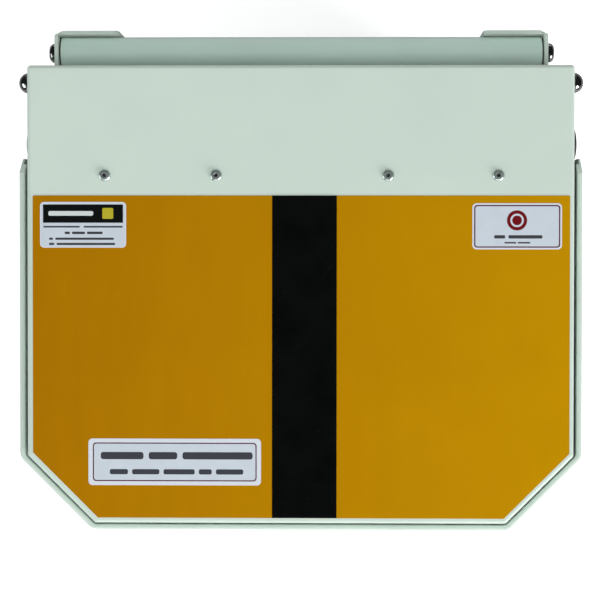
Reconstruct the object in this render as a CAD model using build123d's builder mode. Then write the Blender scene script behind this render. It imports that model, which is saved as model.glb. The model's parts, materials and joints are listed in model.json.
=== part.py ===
from build123d import *
from math import atan, cos, degrees, radians, sin, tan
import os

os.makedirs("parts", exist_ok=True)

# Hospital sack holder pedal bin, in millimetres, at rest with the lid shut.
# X points to the right, Y to the rear and Z up; the floor is Z = 0 and the origin is under the middle.
# Distances called "ahead" are measured forwards (towards -Y) from the lid's hinge line.

# ---------------------------------------------------------------- driving dimensions
SHEET = 1.5                 # lid, back panel, plinth, duct and cover sheet
PLATE = 3.0                 # posts and brackets
FIT = 0.02                  # radial gap of a part held fast on a pin
RUN = 0.05                  # radial gap of a running fit
GAP = 0.3                   # gap left between neighbouring parts that must not touch
OVERRUN = 1.0               # how far a cut runs past the face it starts from
DEEP = 40.0                 # length of a cut that runs right through a small part

# Lift linkage: the lid's lug slot rides a cross pin on a vertical rod, the pedal lever lifts the rod.
PIN_AHEAD = 30.0            # lift rod ahead of the hinge line
LID_HALF_SWING = 36.0       # half of the lid's 72 degree opening
PEDAL_ARM = 165.0           # pedal fulcrum to the lift rod
ROD_TRAVEL = 2 * PIN_AHEAD * tan(radians(LID_HALF_SWING))
PEDAL_TILT = degrees(atan(ROD_TRAVEL / 2 / PEDAL_ARM))
FULCRUM_AHEAD = PIN_AHEAD + PEDAL_ARM
FULCRUM_Z = 44.0
PEDAL_NOSE = 212.0          # fulcrum to the pedal's front face, along the lever
PEDAL_LIP_H = 1.0           # height of the pedal's front lip above the lever's centre line

POST_REAR = 42.0            # hinge line to the posts' rear faces
PEDAL_REACH = (
    FULCRUM_AHEAD + PEDAL_NOSE * cos(radians(PEDAL_TILT)) - PEDAL_LIP_H * sin(radians(PEDAL_TILT))
)
HINGE_Y = (PEDAL_REACH - POST_REAR) / 2
HINGE_Z = 813.0
HINGE_ROD_R = 4.0

# Lid
LID_TOP = 825.0
LID_HALF_W = 210.0
LID_FRONT = 339.0           # ahead
LID_REAR = -13.0            # ahead, so 13 behind the hinge line
LID_CHAMFER = 52.0
LID_SKIRT = 22.0
LID_REAR_LIP = 7.0
LID_REAR_LIP_INSET = 6.0    # the short rear lip starts that far in from each side
BEND_R = 3.0
CORNER_R = 2.6

# Removable cover
COVER_HALF_W = 217.0
COVER_FRONT = 345.2         # ahead
COVER_REAR = 57.5           # ahead
COVER_CHAMFER = LID_CHAMFER + 4.1
COVER_TOP = 818.0
COVER_BOTTOM = 90.3
COVER_CORNER_R = 10.0
HEM_W = 4.0
HEM_H = 12.0
COVER_SLOPE_RUN = 12.0      # sloped top corners at the cover's open rear: along the edge
COVER_SLOPE_DROP = 19.0     # and down
COVER_FOOT_FLANGE = 12.0

# Back panel and plinth
PANEL_FRONT = 13.5          # ahead
PANEL_REAR = PANEL_FRONT - SHEET
PANEL_HALF_W = 212.0
PANEL_TOP = 800.0
PANEL_CHEEK = 70.0          # ahead
PLINTH_HALF_W = 215.5
PLINTH_FRONT = 344.5        # ahead
PLINTH_REAR = PANEL_FRONT
PLINTH_TOP = 90.0
PLINTH_BOTTOM = 20.0
PLINTH_FLANGE = 36.0
PLINTH_NOTCH = 25.0         # half width of the pedal opening
PLINTH_NOTCH_TOP = 82.0

# Posts
POST_OUT = 192.0
POST_TOP = 801.0
POST_BOTTOM = 12.0
POST_FLANGE_BOTTOM = 58.0
POST_REAR_FLANGE = 50.0
POST_FRONT_FLANGE = 27.0
POST_BEND_R = 5.0           # outside radius of the bend between web and rear flange
RELIEF_W = 5.4              # notch that relieves the top of the bend: inwards from the web's face
RELIEF_D = 2.2              # forwards from the flange's face
RELIEF_H = 7.0
LOBE_R = 9.5
DIP_START = 5.0             # the top edge dips behind the lobe to let the open lid's rear lip pass
DIP_START_DROP = 8.0        # below the hinge line
DIP_LOW = 11.5
DIP_LOW_DROP = 15.6         # below the hinge line
DIP_END = 15.6

# Handle
HANDLE_R = 12.5
HANDLE_WALL = 1.5
HANDLE_HALF = 187.8
HANDLE_AHEAD = -26.0
HANDLE_Z = 785.0

# Wheels and feet
WHEEL_R = 24.0
WHEEL_IN = 163.0
WHEEL_OUT = 187.0
WHEEL_AHEAD = -17.0
HUB_R = 17.0
AXLE_R = 4.0
FOOT_R = 15.0
FOOT_X = 140.0

# Lift rod
ROD_R = 4.0
PIN_R = 3.0
TOP_PIN_Z = HINGE_Z - ROD_TRAVEL / 2
FOOT_PIN_Z = FULCRUM_Z - ROD_TRAVEL / 2
DUCT_HALF_W = 35.0
DUCT_DEPTH = 34.0
DUCT_FLANGE = 15.0
DUCT_TOP = 775.0
DAMPER_X = 20.0
DAMPER_R = 9.0
PISTON_ROD_R = 3.0
LINK_Z = 700.0

# Sack hoop
HOOP_R = 4.0
HOOP_HALF_W = 198.0
HOOP_Z = 790.0
HOOP_REAR = 60.0            # ahead
HOOP_FRONT = 325.0          # ahead
HOOP_CHAMFER = 48.0
HOOP_BEND_R = 12.0
HOOP_BRACKET_X = 120.0
HOOP_BRACKET_HALF_W = 15.0
HOOP_BRACKET_LOW = 744.0


def ahead(distance):
    """Y of a point that far ahead of the hinge line."""
    return HINGE_Y - distance


def side_plane(x):
    """Plane across X at x: its local x runs to the rear and its local y runs up."""
    return Plane(origin=(x, 0, 0), x_dir=(0, 1, 0), z_dir=(1, 0, 0))


# The lever's own plane: local x runs along the lever to the rear, local y stands off it.
LEVER_X_DIR = (0, cos(radians(PEDAL_TILT)), -sin(radians(PEDAL_TILT)))


def lever_plane(x):
    """Plane across X at x through the fulcrum, turned with the lever."""
    return Plane(origin=(x, ahead(FULCRUM_AHEAD), FULCRUM_Z), x_dir=LEVER_X_DIR, z_dir=(1, 0, 0))


def faced_plan(half_w, rear, front, chamfer_leg, mode=Mode.ADD):
    """Face with square rear corners and 45 degree front corners, for the current sketch."""
    Polygon(
        (-half_w, ahead(rear)),
        (-half_w, ahead(front - chamfer_leg)),
        (-half_w + chamfer_leg, ahead(front)),
        (half_w - chamfer_leg, ahead(front)),
        (half_w, ahead(front - chamfer_leg)),
        (half_w, ahead(rear)),
        align=None,
        mode=mode,
    )


def block(x0, x1, ahead0, ahead1, z0, z1, mode=Mode.ADD):
    """Box between two X, two distances ahead and two Z, for the current part."""
    with Locations(((x0 + x1) / 2, ahead((ahead0 + ahead1) / 2), (z0 + z1) / 2)):
        Box(abs(x1 - x0), abs(ahead1 - ahead0), abs(z1 - z0), mode=mode)


def drill_y(spots, ahead_y, radius, length=10.0):
    """Round holes along Y through the current part, at (x, z) spots."""
    with Locations(*[(x, ahead(ahead_y), z) for x, z in spots]):
        Cylinder(radius, length, rotation=(90, 0, 0), mode=Mode.SUBTRACT)


def save(builder, label):
    """Labels a finished piece and writes it to parts/."""
    builder.part.label = label
    export_step(builder.part, f"parts/{label}.step")


def out_plane(side, x, ahead_y, z):
    """Plane at |x| on the side -1 or +1 whose normal points outwards along X."""
    return Plane(origin=(side * x, ahead(ahead_y), z), x_dir=(0, side, 0), z_dir=(side, 0, 0))


def rear_plane(x, ahead_y, z):
    """Plane facing the rear at a point, for fasteners entered from behind."""
    return Plane(origin=(x, ahead(ahead_y), z), x_dir=(1, 0, 0), z_dir=(0, 1, 0))


def ring(inner_r, outer_r, length, edge_r=0.0):
    """Plain ring standing on Z = 0, with rounded rims if edge_r is given."""
    with BuildPart() as made:
        with BuildSketch():
            Circle(outer_r)
            Circle(inner_r, mode=Mode.SUBTRACT)
        extrude(amount=length)
        if edge_r:
            fillet(made.edges().filter_by(GeomType.CIRCLE).group_by(SortBy.RADIUS)[-1], edge_r)
    return made.part


def button_screw(head_r, head_h, shank_r, shank_l, socket_r):
    """Button head screw along Z: seat at Z = 0, shank below, hexagon socket in the crown."""
    rim_h = 0.22 * head_h
    crown_r = 0.62 * head_r
    with BuildPart() as made:
        with BuildSketch(Plane.XZ):
            with BuildLine():
                Polyline((crown_r, head_h), (0, head_h), (0, -shank_l), (shank_r, -shank_l), (shank_r, 0))
                Polyline((shank_r, 0), (head_r, 0), (head_r, rim_h))
                ThreePointArc((head_r, rim_h), (0.9 * head_r, 0.75 * head_h), (crown_r, head_h))
            make_face()
        revolve(axis=Axis.Z)
        with BuildSketch(Plane.XY.offset(head_h)):
            RegularPolygon(socket_r, 6)
        extrude(amount=-0.6 * head_h, mode=Mode.SUBTRACT)
    return made.part


def hex_nut(across_r, height, bore_r):
    """Plain hexagon nut standing on Z = 0."""
    with BuildPart() as made:
        with BuildSketch():
            RegularPolygon(across_r, 6)
            Circle(bore_r, mode=Mode.SUBTRACT)
        extrude(amount=height)
        with BuildSketch(Plane.XZ):
            with BuildLine():
                Polyline(
                    (0.86 * across_r, height), (1.1 * across_r, height), (1.1 * across_r, 0.78 * height),
                    close=True,
                )
            make_face()
        revolve(axis=Axis.Z, mode=Mode.SUBTRACT)
    return made.part


def pop_rivet(head_r, head_h, shank_r, grip, tail_r, tail_h, core_r):
    """Blind rivet along Z: head above Z = 0, grip below, swollen tail under it, open mandrel core."""
    with BuildPart() as made:
        with BuildSketch(Plane.XZ):
            with BuildLine():
                Polyline((core_r, head_h), (core_r, head_h * 0.2), (0, head_h * 0.2), (0, -grip - tail_h))
                Polyline((0, -grip - tail_h), (tail_r * 0.6, -grip - tail_h), (tail_r, -grip - tail_h / 2))
                Polyline((tail_r, -grip - tail_h / 2), (tail_r, -grip), (shank_r, -grip), (shank_r, 0))
                Polyline((shank_r, 0), (head_r, 0), (head_r, head_h * 0.2))
                ThreePointArc((head_r, head_h * 0.2), (head_r * 0.8, head_h * 0.78), (core_r, head_h))
            make_face()
        revolve(axis=Axis.Z)
    return made.part


def dome_cap(base_r, dome_r, height, bore_r, bore_l):
    """Push-on domed cap along Z: flared skirt on Z = 0, dome above, blind bore from below."""
    skirt_h = 1.2
    crown_r = 0.6
    mid_h = skirt_h + 0.62 * (height - skirt_h)
    with BuildPart() as made:
        with BuildSketch(Plane.XZ):
            with BuildLine():
                Polyline((crown_r, height), (0, height), (0, bore_l), (bore_r, bore_l), (bore_r, 0))
                Polyline((bore_r, 0), (base_r, 0), (base_r, 0.4), (dome_r, skirt_h))
                ThreePointArc((dome_r, skirt_h), (0.75 * dome_r, mid_h), (crown_r, height))
            make_face()
        revolve(axis=Axis.Z)
    return made.part


# ---------------------------------------------------------------- lid
RIVET_XS = (-150.2, -64.6, 67.4, 151.8)
RIVET_AHEAD = 71.5
RIVET_R = 2.4
BRACKET_HALF_W = 165.0
BRACKET_REAR = 20.0         # ahead
BRACKET_FRONT = 82.0        # ahead
BRACKET_DROP = 12.0
BUSH_R = 6.0
BUSH_FLANGE_R = 8.0
LUG_IN = 7.5
LUG_T = 2.5
SLOT_HALF_W = PIN_R + 1.2
LUG_MARGIN = 4.3
LUG_WEB = (                 # the lug's web: ahead of the bracket's rear edge, and below the hinge line
    (-2.5, 15.0),
    (18.0, 20.0),
)
LUG_WEB_LENGTH = 24.0
LID_UNDER = LID_TOP - SHEET

with BuildPart() as lid_panel:
    with BuildSketch(Plane.XY.offset(LID_TOP - LID_SKIRT)):
        faced_plan(LID_HALF_W, LID_REAR, LID_FRONT, LID_CHAMFER)
    extrude(amount=LID_SKIRT)
    fillet(lid_panel.edges().filter_by(Axis.Z), CORNER_R)
    fillet(lid_panel.faces().sort_by(Axis.Z)[-1].edges(), BEND_R)
    offset(amount=-SHEET, openings=lid_panel.faces().sort_by(Axis.Z)[0])
    # Between the side skirts the rear edge has only a short lip.
    lip_half_w = LID_HALF_W - LID_REAR_LIP_INSET
    block(-lip_half_w, lip_half_w, LID_REAR - OVERRUN, LID_REAR + CORNER_R,
          LID_TOP - LID_SKIRT - OVERRUN, LID_TOP - LID_REAR_LIP, Mode.SUBTRACT)
    with BuildSketch(side_plane(-LID_HALF_W - 1)):
        with Locations((HINGE_Y, HINGE_Z)):
            Circle(BUSH_R + FIT)
    extrude(amount=2 * LID_HALF_W + 2, mode=Mode.SUBTRACT)
    with Locations(*[(x, ahead(RIVET_AHEAD), LID_TOP) for x in RIVET_XS]):
        Cylinder(RIVET_R + FIT, 4 * SHEET, mode=Mode.SUBTRACT)
save(lid_panel, "lid_panel")

# The slot starts where the pin is nearest the hinge line and ends where it is farthest.
SLOT_NEAR = PIN_AHEAD
SLOT_FAR = PIN_AHEAD / cos(radians(LID_HALF_SWING))
SLOT_PLANE = Plane(
    origin=(0, HINGE_Y, HINGE_Z),
    x_dir=(0, -cos(radians(LID_HALF_SWING)), -sin(radians(LID_HALF_SWING))),
    z_dir=(1, 0, 0),
)
SLOT_MID = (SLOT_NEAR + SLOT_FAR) / 2
SLOT_RUN = SLOT_FAR - SLOT_NEAR + 2 * GAP

with BuildPart() as lid_bracket:
    block(-BRACKET_HALF_W, BRACKET_HALF_W, BRACKET_REAR, BRACKET_FRONT, LID_UNDER - SHEET, LID_UNDER)
    for edge_ahead in (BRACKET_REAR + SHEET / 2, BRACKET_FRONT - SHEET / 2):
        block(-BRACKET_HALF_W, BRACKET_HALF_W, edge_ahead - SHEET / 2, edge_ahead + SHEET / 2,
              LID_UNDER - BRACKET_DROP, LID_UNDER)
    for x in (-BRACKET_HALF_W, BRACKET_HALF_W - SHEET):
        block(x, x + SHEET, BRACKET_REAR, BRACKET_FRONT, LID_UNDER - BRACKET_DROP, LID_UNDER)
    with Locations(*[(x, ahead(RIVET_AHEAD), LID_UNDER) for x in RIVET_XS]):
        Cylinder(RIVET_R + FIT, 4 * SHEET, mode=Mode.SUBTRACT)
    for x in (-LUG_IN - LUG_T, LUG_IN):
        with BuildSketch(SLOT_PLANE.offset(x)):
            with Locations((SLOT_MID, 0)):
                SlotOverall(SLOT_RUN + 2 * (SLOT_HALF_W + LUG_MARGIN), 2 * (SLOT_HALF_W + LUG_MARGIN))
        with BuildSketch(side_plane(x)):
            with BuildLine():
                Polyline(
                    (ahead(BRACKET_REAR), LID_UNDER - SHEET / 2),
                    *[(ahead(BRACKET_REAR + along), HINGE_Z - drop) for along, drop in LUG_WEB],
                    (ahead(BRACKET_REAR + LUG_WEB_LENGTH), LID_UNDER - SHEET / 2),
                    close=True,
                )
            make_face()
        extrude(amount=LUG_T)
    for x in (-LUG_IN - LUG_T, LUG_IN):
        with BuildSketch(SLOT_PLANE.offset(x - GAP)):
            with Locations((SLOT_MID, 0)):
                SlotOverall(SLOT_RUN + 2 * SLOT_HALF_W, 2 * SLOT_HALF_W)
        extrude(amount=LUG_T + 2 * GAP, mode=Mode.SUBTRACT)
save(lid_bracket, "lid_bracket")

lid_rivet = pop_rivet(4.7, 2.0, RIVET_R, 2 * SHEET, 3.6, 4.0, 1.5)
with BuildPart() as lid_rivets:
    with Locations(*[(x, ahead(RIVET_AHEAD), LID_TOP) for x in RIVET_XS]):
        add(lid_rivet)
save(lid_rivets, "lid_rivets")

with BuildPart() as lid_bushes:
    for side in (-1, 1):
        with BuildSketch(out_plane(side, LID_HALF_W - SHEET - 2, 0, HINGE_Z)):
            Circle(BUSH_FLANGE_R)
        extrude(amount=2)
        with BuildSketch(out_plane(side, LID_HALF_W - SHEET - 2, 0, HINGE_Z)):
            Circle(BUSH_R)
        extrude(amount=SHEET + 2)
    with BuildSketch(side_plane(-LID_HALF_W - 1)):
        with Locations((HINGE_Y, HINGE_Z)):
            Circle(HINGE_ROD_R + RUN)
    extrude(amount=2 * LID_HALF_W + 2, mode=Mode.SUBTRACT)
save(lid_bushes, "lid_bushes")

# Vinyl label with a centre stripe, and three small stickers; the stickers' faces carry no wording.
VINYL = 0.3
STICKER = 0.15
LABEL_X = 0.5
STRIPE_X = 3.4
STRIPE_HALF_W = 24.8
LABEL_HALF_W = 206.0
LABEL_REAR = 87.0
LABEL_FRONT = 334.8
LABEL_CHAMFER = 50.0
LABEL_CORNER_R = 1.0

with BuildPart() as lid_label:
    with BuildSketch(Plane.XY.offset(LID_TOP)):
        with Locations((LABEL_X, 0)):
            faced_plan(LABEL_HALF_W, LABEL_REAR, LABEL_FRONT, LABEL_CHAMFER)
    extrude(amount=VINYL)
    fillet(lid_label.edges().filter_by(Axis.Z), LABEL_CORNER_R)
save(lid_label, "lid_label")

with BuildPart() as label_stripe:
    block(STRIPE_X - STRIPE_HALF_W, STRIPE_X + STRIPE_HALF_W, LABEL_REAR, LABEL_FRONT,
          LID_TOP + VINYL, LID_TOP + VINYL + STICKER)
save(label_stripe, "label_stripe")


STICKER_CORNER_R = 3.2
STICKER_PLACES = {          # middle across, middle ahead, width, depth
    "maker_sticker": (-166.7, 109.5, 66.3, 35.1),
    "safety_sticker": (166.1, 110.5, 68.4, 35.3),
    "guide_sticker": (-96.3, 291.8, 133.0, 36.0),
}
for label, (x, sticker_ahead, width, depth) in STICKER_PLACES.items():
    with BuildPart() as sticker:
        with BuildSketch(Plane.XY.offset(LID_TOP + VINYL)):
            with Locations((x, ahead(sticker_ahead))):
                RectangleRounded(width, depth, STICKER_CORNER_R)
        extrude(amount=STICKER)
    save(sticker, label)

# ---------------------------------------------------------------- hinge
CAP_SEAT = LID_HALF_W + GAP
ROD_END = CAP_SEAT + 4.0

with BuildPart() as hinge_rod:
    with BuildSketch(side_plane(-ROD_END)):
        with Locations((HINGE_Y, HINGE_Z)):
            Circle(HINGE_ROD_R)
    extrude(amount=2 * ROD_END)
save(hinge_rod, "hinge_rod")

SPACER_L = LID_HALF_W - SHEET - 2 - POST_OUT - 2 * GAP
hinge_spacer = ring(HINGE_ROD_R + FIT, BUSH_R, SPACER_L, 0.6)
with BuildPart() as hinge_spacers:
    with Locations(out_plane(-1, POST_OUT + GAP, 0, HINGE_Z), out_plane(1, POST_OUT + GAP, 0, HINGE_Z)):
        add(hinge_spacer)
save(hinge_spacers, "hinge_spacers")

# ---------------------------------------------------------------- posts
BOLT_X = 177.0
BOLT_ZS = (120.0, 330.0, 550.0, 765.0)
BOLT_R = 3.0
SCREW_R = 4.0


def post(side, label):
    """Folded upright: web with hinge lobe and handle ear, rear flange and front flange turned inwards."""
    x_web = side * POST_OUT if side < 0 else POST_OUT - PLATE
    with BuildPart() as made:
        with BuildSketch(side_plane(x_web)):
            with BuildLine():
                Polyline(
                    (ahead(PANEL_REAR), POST_BOTTOM),
                    (ahead(PANEL_REAR), POST_TOP),
                    (ahead(LOBE_R), POST_TOP + 3),
                    (ahead(LOBE_R), HINGE_Z),
                    (ahead(0), HINGE_Z),
                    (ahead(-DIP_START), HINGE_Z - DIP_START_DROP),
                    (ahead(-DIP_LOW), HINGE_Z - DIP_LOW_DROP),
                    (ahead(-DIP_END), POST_TOP),
                    (ahead(-POST_REAR), POST_TOP),
                    (ahead(-POST_REAR), POST_BOTTOM),
                    close=True,
                )
            make_face()
            with Locations((HINGE_Y, HINGE_Z)):
                Circle(LOBE_R)
        extrude(amount=PLATE)
        corners = made.edges().filter_by(Axis.X)
        fillet(corners.filter_by_position(Axis.Y, ahead(-POST_REAR) - 0.1, ahead(-POST_REAR) + 0.1), 5)
        front_foot = corners.filter_by_position(Axis.Z, POST_BOTTOM - 0.1, POST_BOTTOM + 0.1)
        fillet(front_foot.sort_by(Axis.Y)[0], 5)
        # Rear flange with a rounded inner top corner.
        with BuildSketch(Plane(origin=(0, ahead(-POST_REAR), 0), x_dir=(-1, 0, 0), z_dir=(0, 1, 0))):
            mid_x = -side * (POST_OUT - POST_REAR_FLANGE / 2)
            with Locations((mid_x, (POST_TOP + POST_FLANGE_BOTTOM) / 2)):
                Rectangle(POST_REAR_FLANGE, POST_TOP - POST_FLANGE_BOTTOM)
            fillet(vertices().group_by(Axis.Y)[-1], 4.5)
            fillet(vertices().group_by(Axis.Y)[0], 4.5)
        extrude(amount=-PLATE)
        # Bend between web and rear flange: round off the outside, then fill the inside corner.
        bend_centre = (side * (POST_OUT - POST_BEND_R), ahead(-POST_REAR + POST_BEND_R))
        with BuildSketch(Plane.XY.offset(POST_FLANGE_BOTTOM)):
            with Locations((side * POST_OUT, ahead(-POST_REAR))):
                Rectangle(2 * POST_BEND_R, 2 * POST_BEND_R)
            with Locations(bend_centre):
                Circle(POST_BEND_R, mode=Mode.SUBTRACT)
        extrude(amount=POST_TOP - POST_FLANGE_BOTTOM + OVERRUN, mode=Mode.SUBTRACT)
        inner_r = POST_BEND_R - PLATE
        with BuildSketch(Plane.XY.offset(POST_FLANGE_BOTTOM + inner_r)):
            with Locations((bend_centre[0] + side * inner_r / 2, bend_centre[1] + inner_r / 2)):
                Rectangle(inner_r, inner_r)
            with Locations(bend_centre):
                Circle(inner_r, mode=Mode.SUBTRACT)
        extrude(amount=POST_TOP - POST_FLANGE_BOTTOM - 2 * inner_r)
        block(side * (POST_OUT - RELIEF_W), side * (POST_OUT + OVERRUN),
              -POST_REAR - OVERRUN, -POST_REAR + RELIEF_D,
              POST_TOP - RELIEF_H, POST_TOP + OVERRUN, Mode.SUBTRACT)
        inner_x = side * (POST_OUT - POST_FRONT_FLANGE)
        block(inner_x, side * POST_OUT, PANEL_REAR - PLATE, PANEL_REAR, POST_FLANGE_BOTTOM, POST_TOP - 2)
        with BuildSketch(side_plane(x_web - GAP)):
            with Locations((HINGE_Y, HINGE_Z)):
                Circle(HINGE_ROD_R + FIT)
            with Locations((ahead(HANDLE_AHEAD), HANDLE_Z)):
                Circle(SCREW_R + GAP)
            with Locations((ahead(WHEEL_AHEAD), WHEEL_R)):
                Circle(AXLE_R + FIT)
        extrude(amount=PLATE + 2 * GAP, mode=Mode.SUBTRACT)
        drill_y([(side * BOLT_X, z) for z in BOLT_ZS], PANEL_REAR - PLATE / 2, BOLT_R + GAP)
    save(made, label)


post(-1, "left_post")
post(1, "right_post")

POST_BOLT_SPOTS = [(side * BOLT_X, z) for side in (-1, 1) for z in BOLT_ZS]
front_facing = [
    Plane(origin=(x, ahead(PANEL_FRONT), z), x_dir=(1, 0, 0), z_dir=(0, -1, 0))
    for x, z in POST_BOLT_SPOTS
]
m6_bolt = button_screw(5.5, 3.0, BOLT_R, SHEET + PLATE + 6.0, 2.1)
with BuildPart() as post_bolts:
    with Locations(*front_facing):
        add(m6_bolt)
save(post_bolts, "post_bolts")

# ---------------------------------------------------------------- handle
INSERT_FLANGE = 1.0

with BuildPart() as handle_tube:
    with BuildSketch(side_plane(-HANDLE_HALF)):
        with Locations((ahead(HANDLE_AHEAD), HANDLE_Z)):
            Circle(HANDLE_R)
            Circle(HANDLE_R - HANDLE_WALL, mode=Mode.SUBTRACT)
    extrude(amount=2 * HANDLE_HALF)
save(handle_tube, "handle_tube")

with BuildPart() as handle_inserts:
    for side in (-1, 1):
        with BuildSketch(out_plane(side, HANDLE_HALF - 22, HANDLE_AHEAD, HANDLE_Z)):
            Circle(HANDLE_R - HANDLE_WALL - FIT)
            Circle(SCREW_R + FIT, mode=Mode.SUBTRACT)
        extrude(amount=22)
        with BuildSketch(out_plane(side, HANDLE_HALF, HANDLE_AHEAD, HANDLE_Z)):
            Circle(HANDLE_R - 0.6)
            Circle(SCREW_R + FIT, mode=Mode.SUBTRACT)
        extrude(amount=INSERT_FLANGE)
save(handle_inserts, "handle_inserts")

m8_screw = button_screw(7.5, 5.7, SCREW_R, 22.0, 2.9)
with BuildPart() as handle_screws:
    with Locations(*[out_plane(side, POST_OUT, HANDLE_AHEAD, HANDLE_Z) for side in (-1, 1)]):
        add(m8_screw)
save(handle_screws, "handle_screws")

# ---------------------------------------------------------------- back panel
PLINTH_RIVET_XS = (-150.0, -60.0, 60.0, 150.0)
PLINTH_RIVET_Z = 55.0
PLUG_AHEAD = 46.0
PLUG_Z = 786.0
PLUG_HOLE_R = 4.0
RIVET_SMALL_R = 2.0
DUCT_RIVET_X = DUCT_HALF_W + DUCT_FLANGE / 2
DUCT_RIVET_ZS = (130.0, 290.0, 450.0, 610.0, 750.0)
HOOP_RIVET_ZS = (755.0, 772.0)
CLAMP_Z = 585.0
CLAMP_SCREW_ZS = (CLAMP_Z - 7, CLAMP_Z + 7)
CLAMP_SCREW_X = DAMPER_X - 7
GUIDE_SCREW_XS = (-22.0, 22.0)
GUIDE_SCREW_Z = 766.0
CATCH_Z = 420.0
CATCH_AHEAD = 60.0
CATCH_RIVET_ZS = (CATCH_Z - 11, CATCH_Z + 11)
RIVET_HOLE_R = RIVET_SMALL_R + FIT
PLINTH_RIVET_SPOTS = [(x, PLINTH_RIVET_Z) for x in PLINTH_RIVET_XS]
DUCT_RIVET_SPOTS = [(side * DUCT_RIVET_X, z) for side in (-1, 1) for z in DUCT_RIVET_ZS]
HOOP_RIVET_SPOTS = [(side * HOOP_BRACKET_X, z) for side in (-1, 1) for z in HOOP_RIVET_ZS]
CATCH_RIVET_SPOTS = [(side, z) for side in (-1, 1) for z in CATCH_RIVET_ZS]
CLAMP_SCREW_SPOTS = [(CLAMP_SCREW_X, z) for z in CLAMP_SCREW_ZS]
GUIDE_SCREW_SPOTS = [(x, GUIDE_SCREW_Z) for x in GUIDE_SCREW_XS]
PANEL_SCREW_SPOTS = CLAMP_SCREW_SPOTS + GUIDE_SCREW_SPOTS

with BuildPart() as back_panel:
    with BuildSketch(Plane.XY.offset(COVER_BOTTOM + 2)):
        with Locations((0, ahead((PANEL_CHEEK + PANEL_REAR) / 2))):
            Rectangle(2 * PANEL_HALF_W, PANEL_CHEEK - PANEL_REAR)
        fillet(vertices().group_by(Axis.Y)[-1], BEND_R)
    extrude(amount=PANEL_TOP - COVER_BOTTOM - 2)
    with BuildSketch(Plane.XY.offset(COVER_BOTTOM + 1)):
        with Locations((0, ahead(PANEL_FRONT + 50))):
            Rectangle(2 * (PANEL_HALF_W - SHEET), 100)
        fillet(vertices().group_by(Axis.Y)[-1], BEND_R - SHEET)
    extrude(amount=PANEL_TOP, mode=Mode.SUBTRACT)
    # The panel's foot runs down behind the plinth.
    block(-PANEL_HALF_W, PANEL_HALF_W, PANEL_REAR, PANEL_FRONT, PLINTH_BOTTOM, COVER_BOTTOM + BEND_R)
    drill_y(POST_BOLT_SPOTS, PANEL_REAR, BOLT_R + GAP)
    drill_y(PLINTH_RIVET_SPOTS, PANEL_REAR, RIVET_HOLE_R)
    drill_y(DUCT_RIVET_SPOTS, PANEL_REAR, RIVET_HOLE_R)
    drill_y(HOOP_RIVET_SPOTS, PANEL_REAR, RIVET_HOLE_R)
    drill_y(PANEL_SCREW_SPOTS, PANEL_REAR, RIVET_HOLE_R)
    for side in (-1, 1):
        with Locations((side * PANEL_HALF_W, ahead(PLUG_AHEAD), PLUG_Z)):
            Cylinder(PLUG_HOLE_R + FIT, 10, rotation=(0, 90, 0), mode=Mode.SUBTRACT)
        with Locations(*[(side * PANEL_HALF_W, ahead(CATCH_AHEAD), z) for z in CATCH_RIVET_ZS]):
            Cylinder(RIVET_HOLE_R, 10, rotation=(0, 90, 0), mode=Mode.SUBTRACT)
save(back_panel, "back_panel")

# Domed black plugs pushed into the top of both cheeks.
PLUG_R = 13.4
PLUG_EDGE_H = 1.4
PLUG_H = 3.2
PLUG_STEM_L = 4.5
PLUG_TIP_R = PLUG_HOLE_R - 0.8
PLUG_CROWN_R = 3.0
with BuildPart() as plug:
    with BuildSketch(Plane.XZ):
        with BuildLine():
            Polyline(
                (PLUG_CROWN_R, PLUG_H), (0, PLUG_H), (0, -PLUG_STEM_L), (PLUG_TIP_R, -PLUG_STEM_L),
                (PLUG_HOLE_R, -PLUG_STEM_L / 2), (PLUG_HOLE_R, 0), (PLUG_R, 0), (PLUG_R, PLUG_EDGE_H),
            )
            ThreePointArc((PLUG_R, PLUG_EDGE_H), (0.7 * PLUG_R, 0.85 * PLUG_H), (PLUG_CROWN_R, PLUG_H))
        make_face()
    revolve(axis=Axis.Z)
with BuildPart() as cheek_plugs:
    with Locations(*[out_plane(side, PANEL_HALF_W, PLUG_AHEAD, PLUG_Z) for side in (-1, 1)]):
        add(plug.part)
save(cheek_plugs, "cheek_plugs")

# ---------------------------------------------------------------- plinth
LOWER_GUIDE_R = 7.0
BRACKET_BOLT_R = 2.5
BRACKET_BOLTS = [(x, ahead(FULCRUM_AHEAD + along)) for x in (-14, 14) for along in (-19, 19)]
STOP_AHEAD = 110.0          # pedal stops ahead of and behind the fulcrum
STOP_NECK_R = 3.0
STOP_YS = (ahead(FULCRUM_AHEAD - STOP_AHEAD), ahead(FULCRUM_AHEAD + STOP_AHEAD))
FOOT_STUD_R = 3.0
FOOT_STUD_TOP = 34.0
FOOT_SPOTS = [(x, ahead(PLINTH_FRONT - 19)) for x in (-FOOT_X, FOOT_X)]

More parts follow.
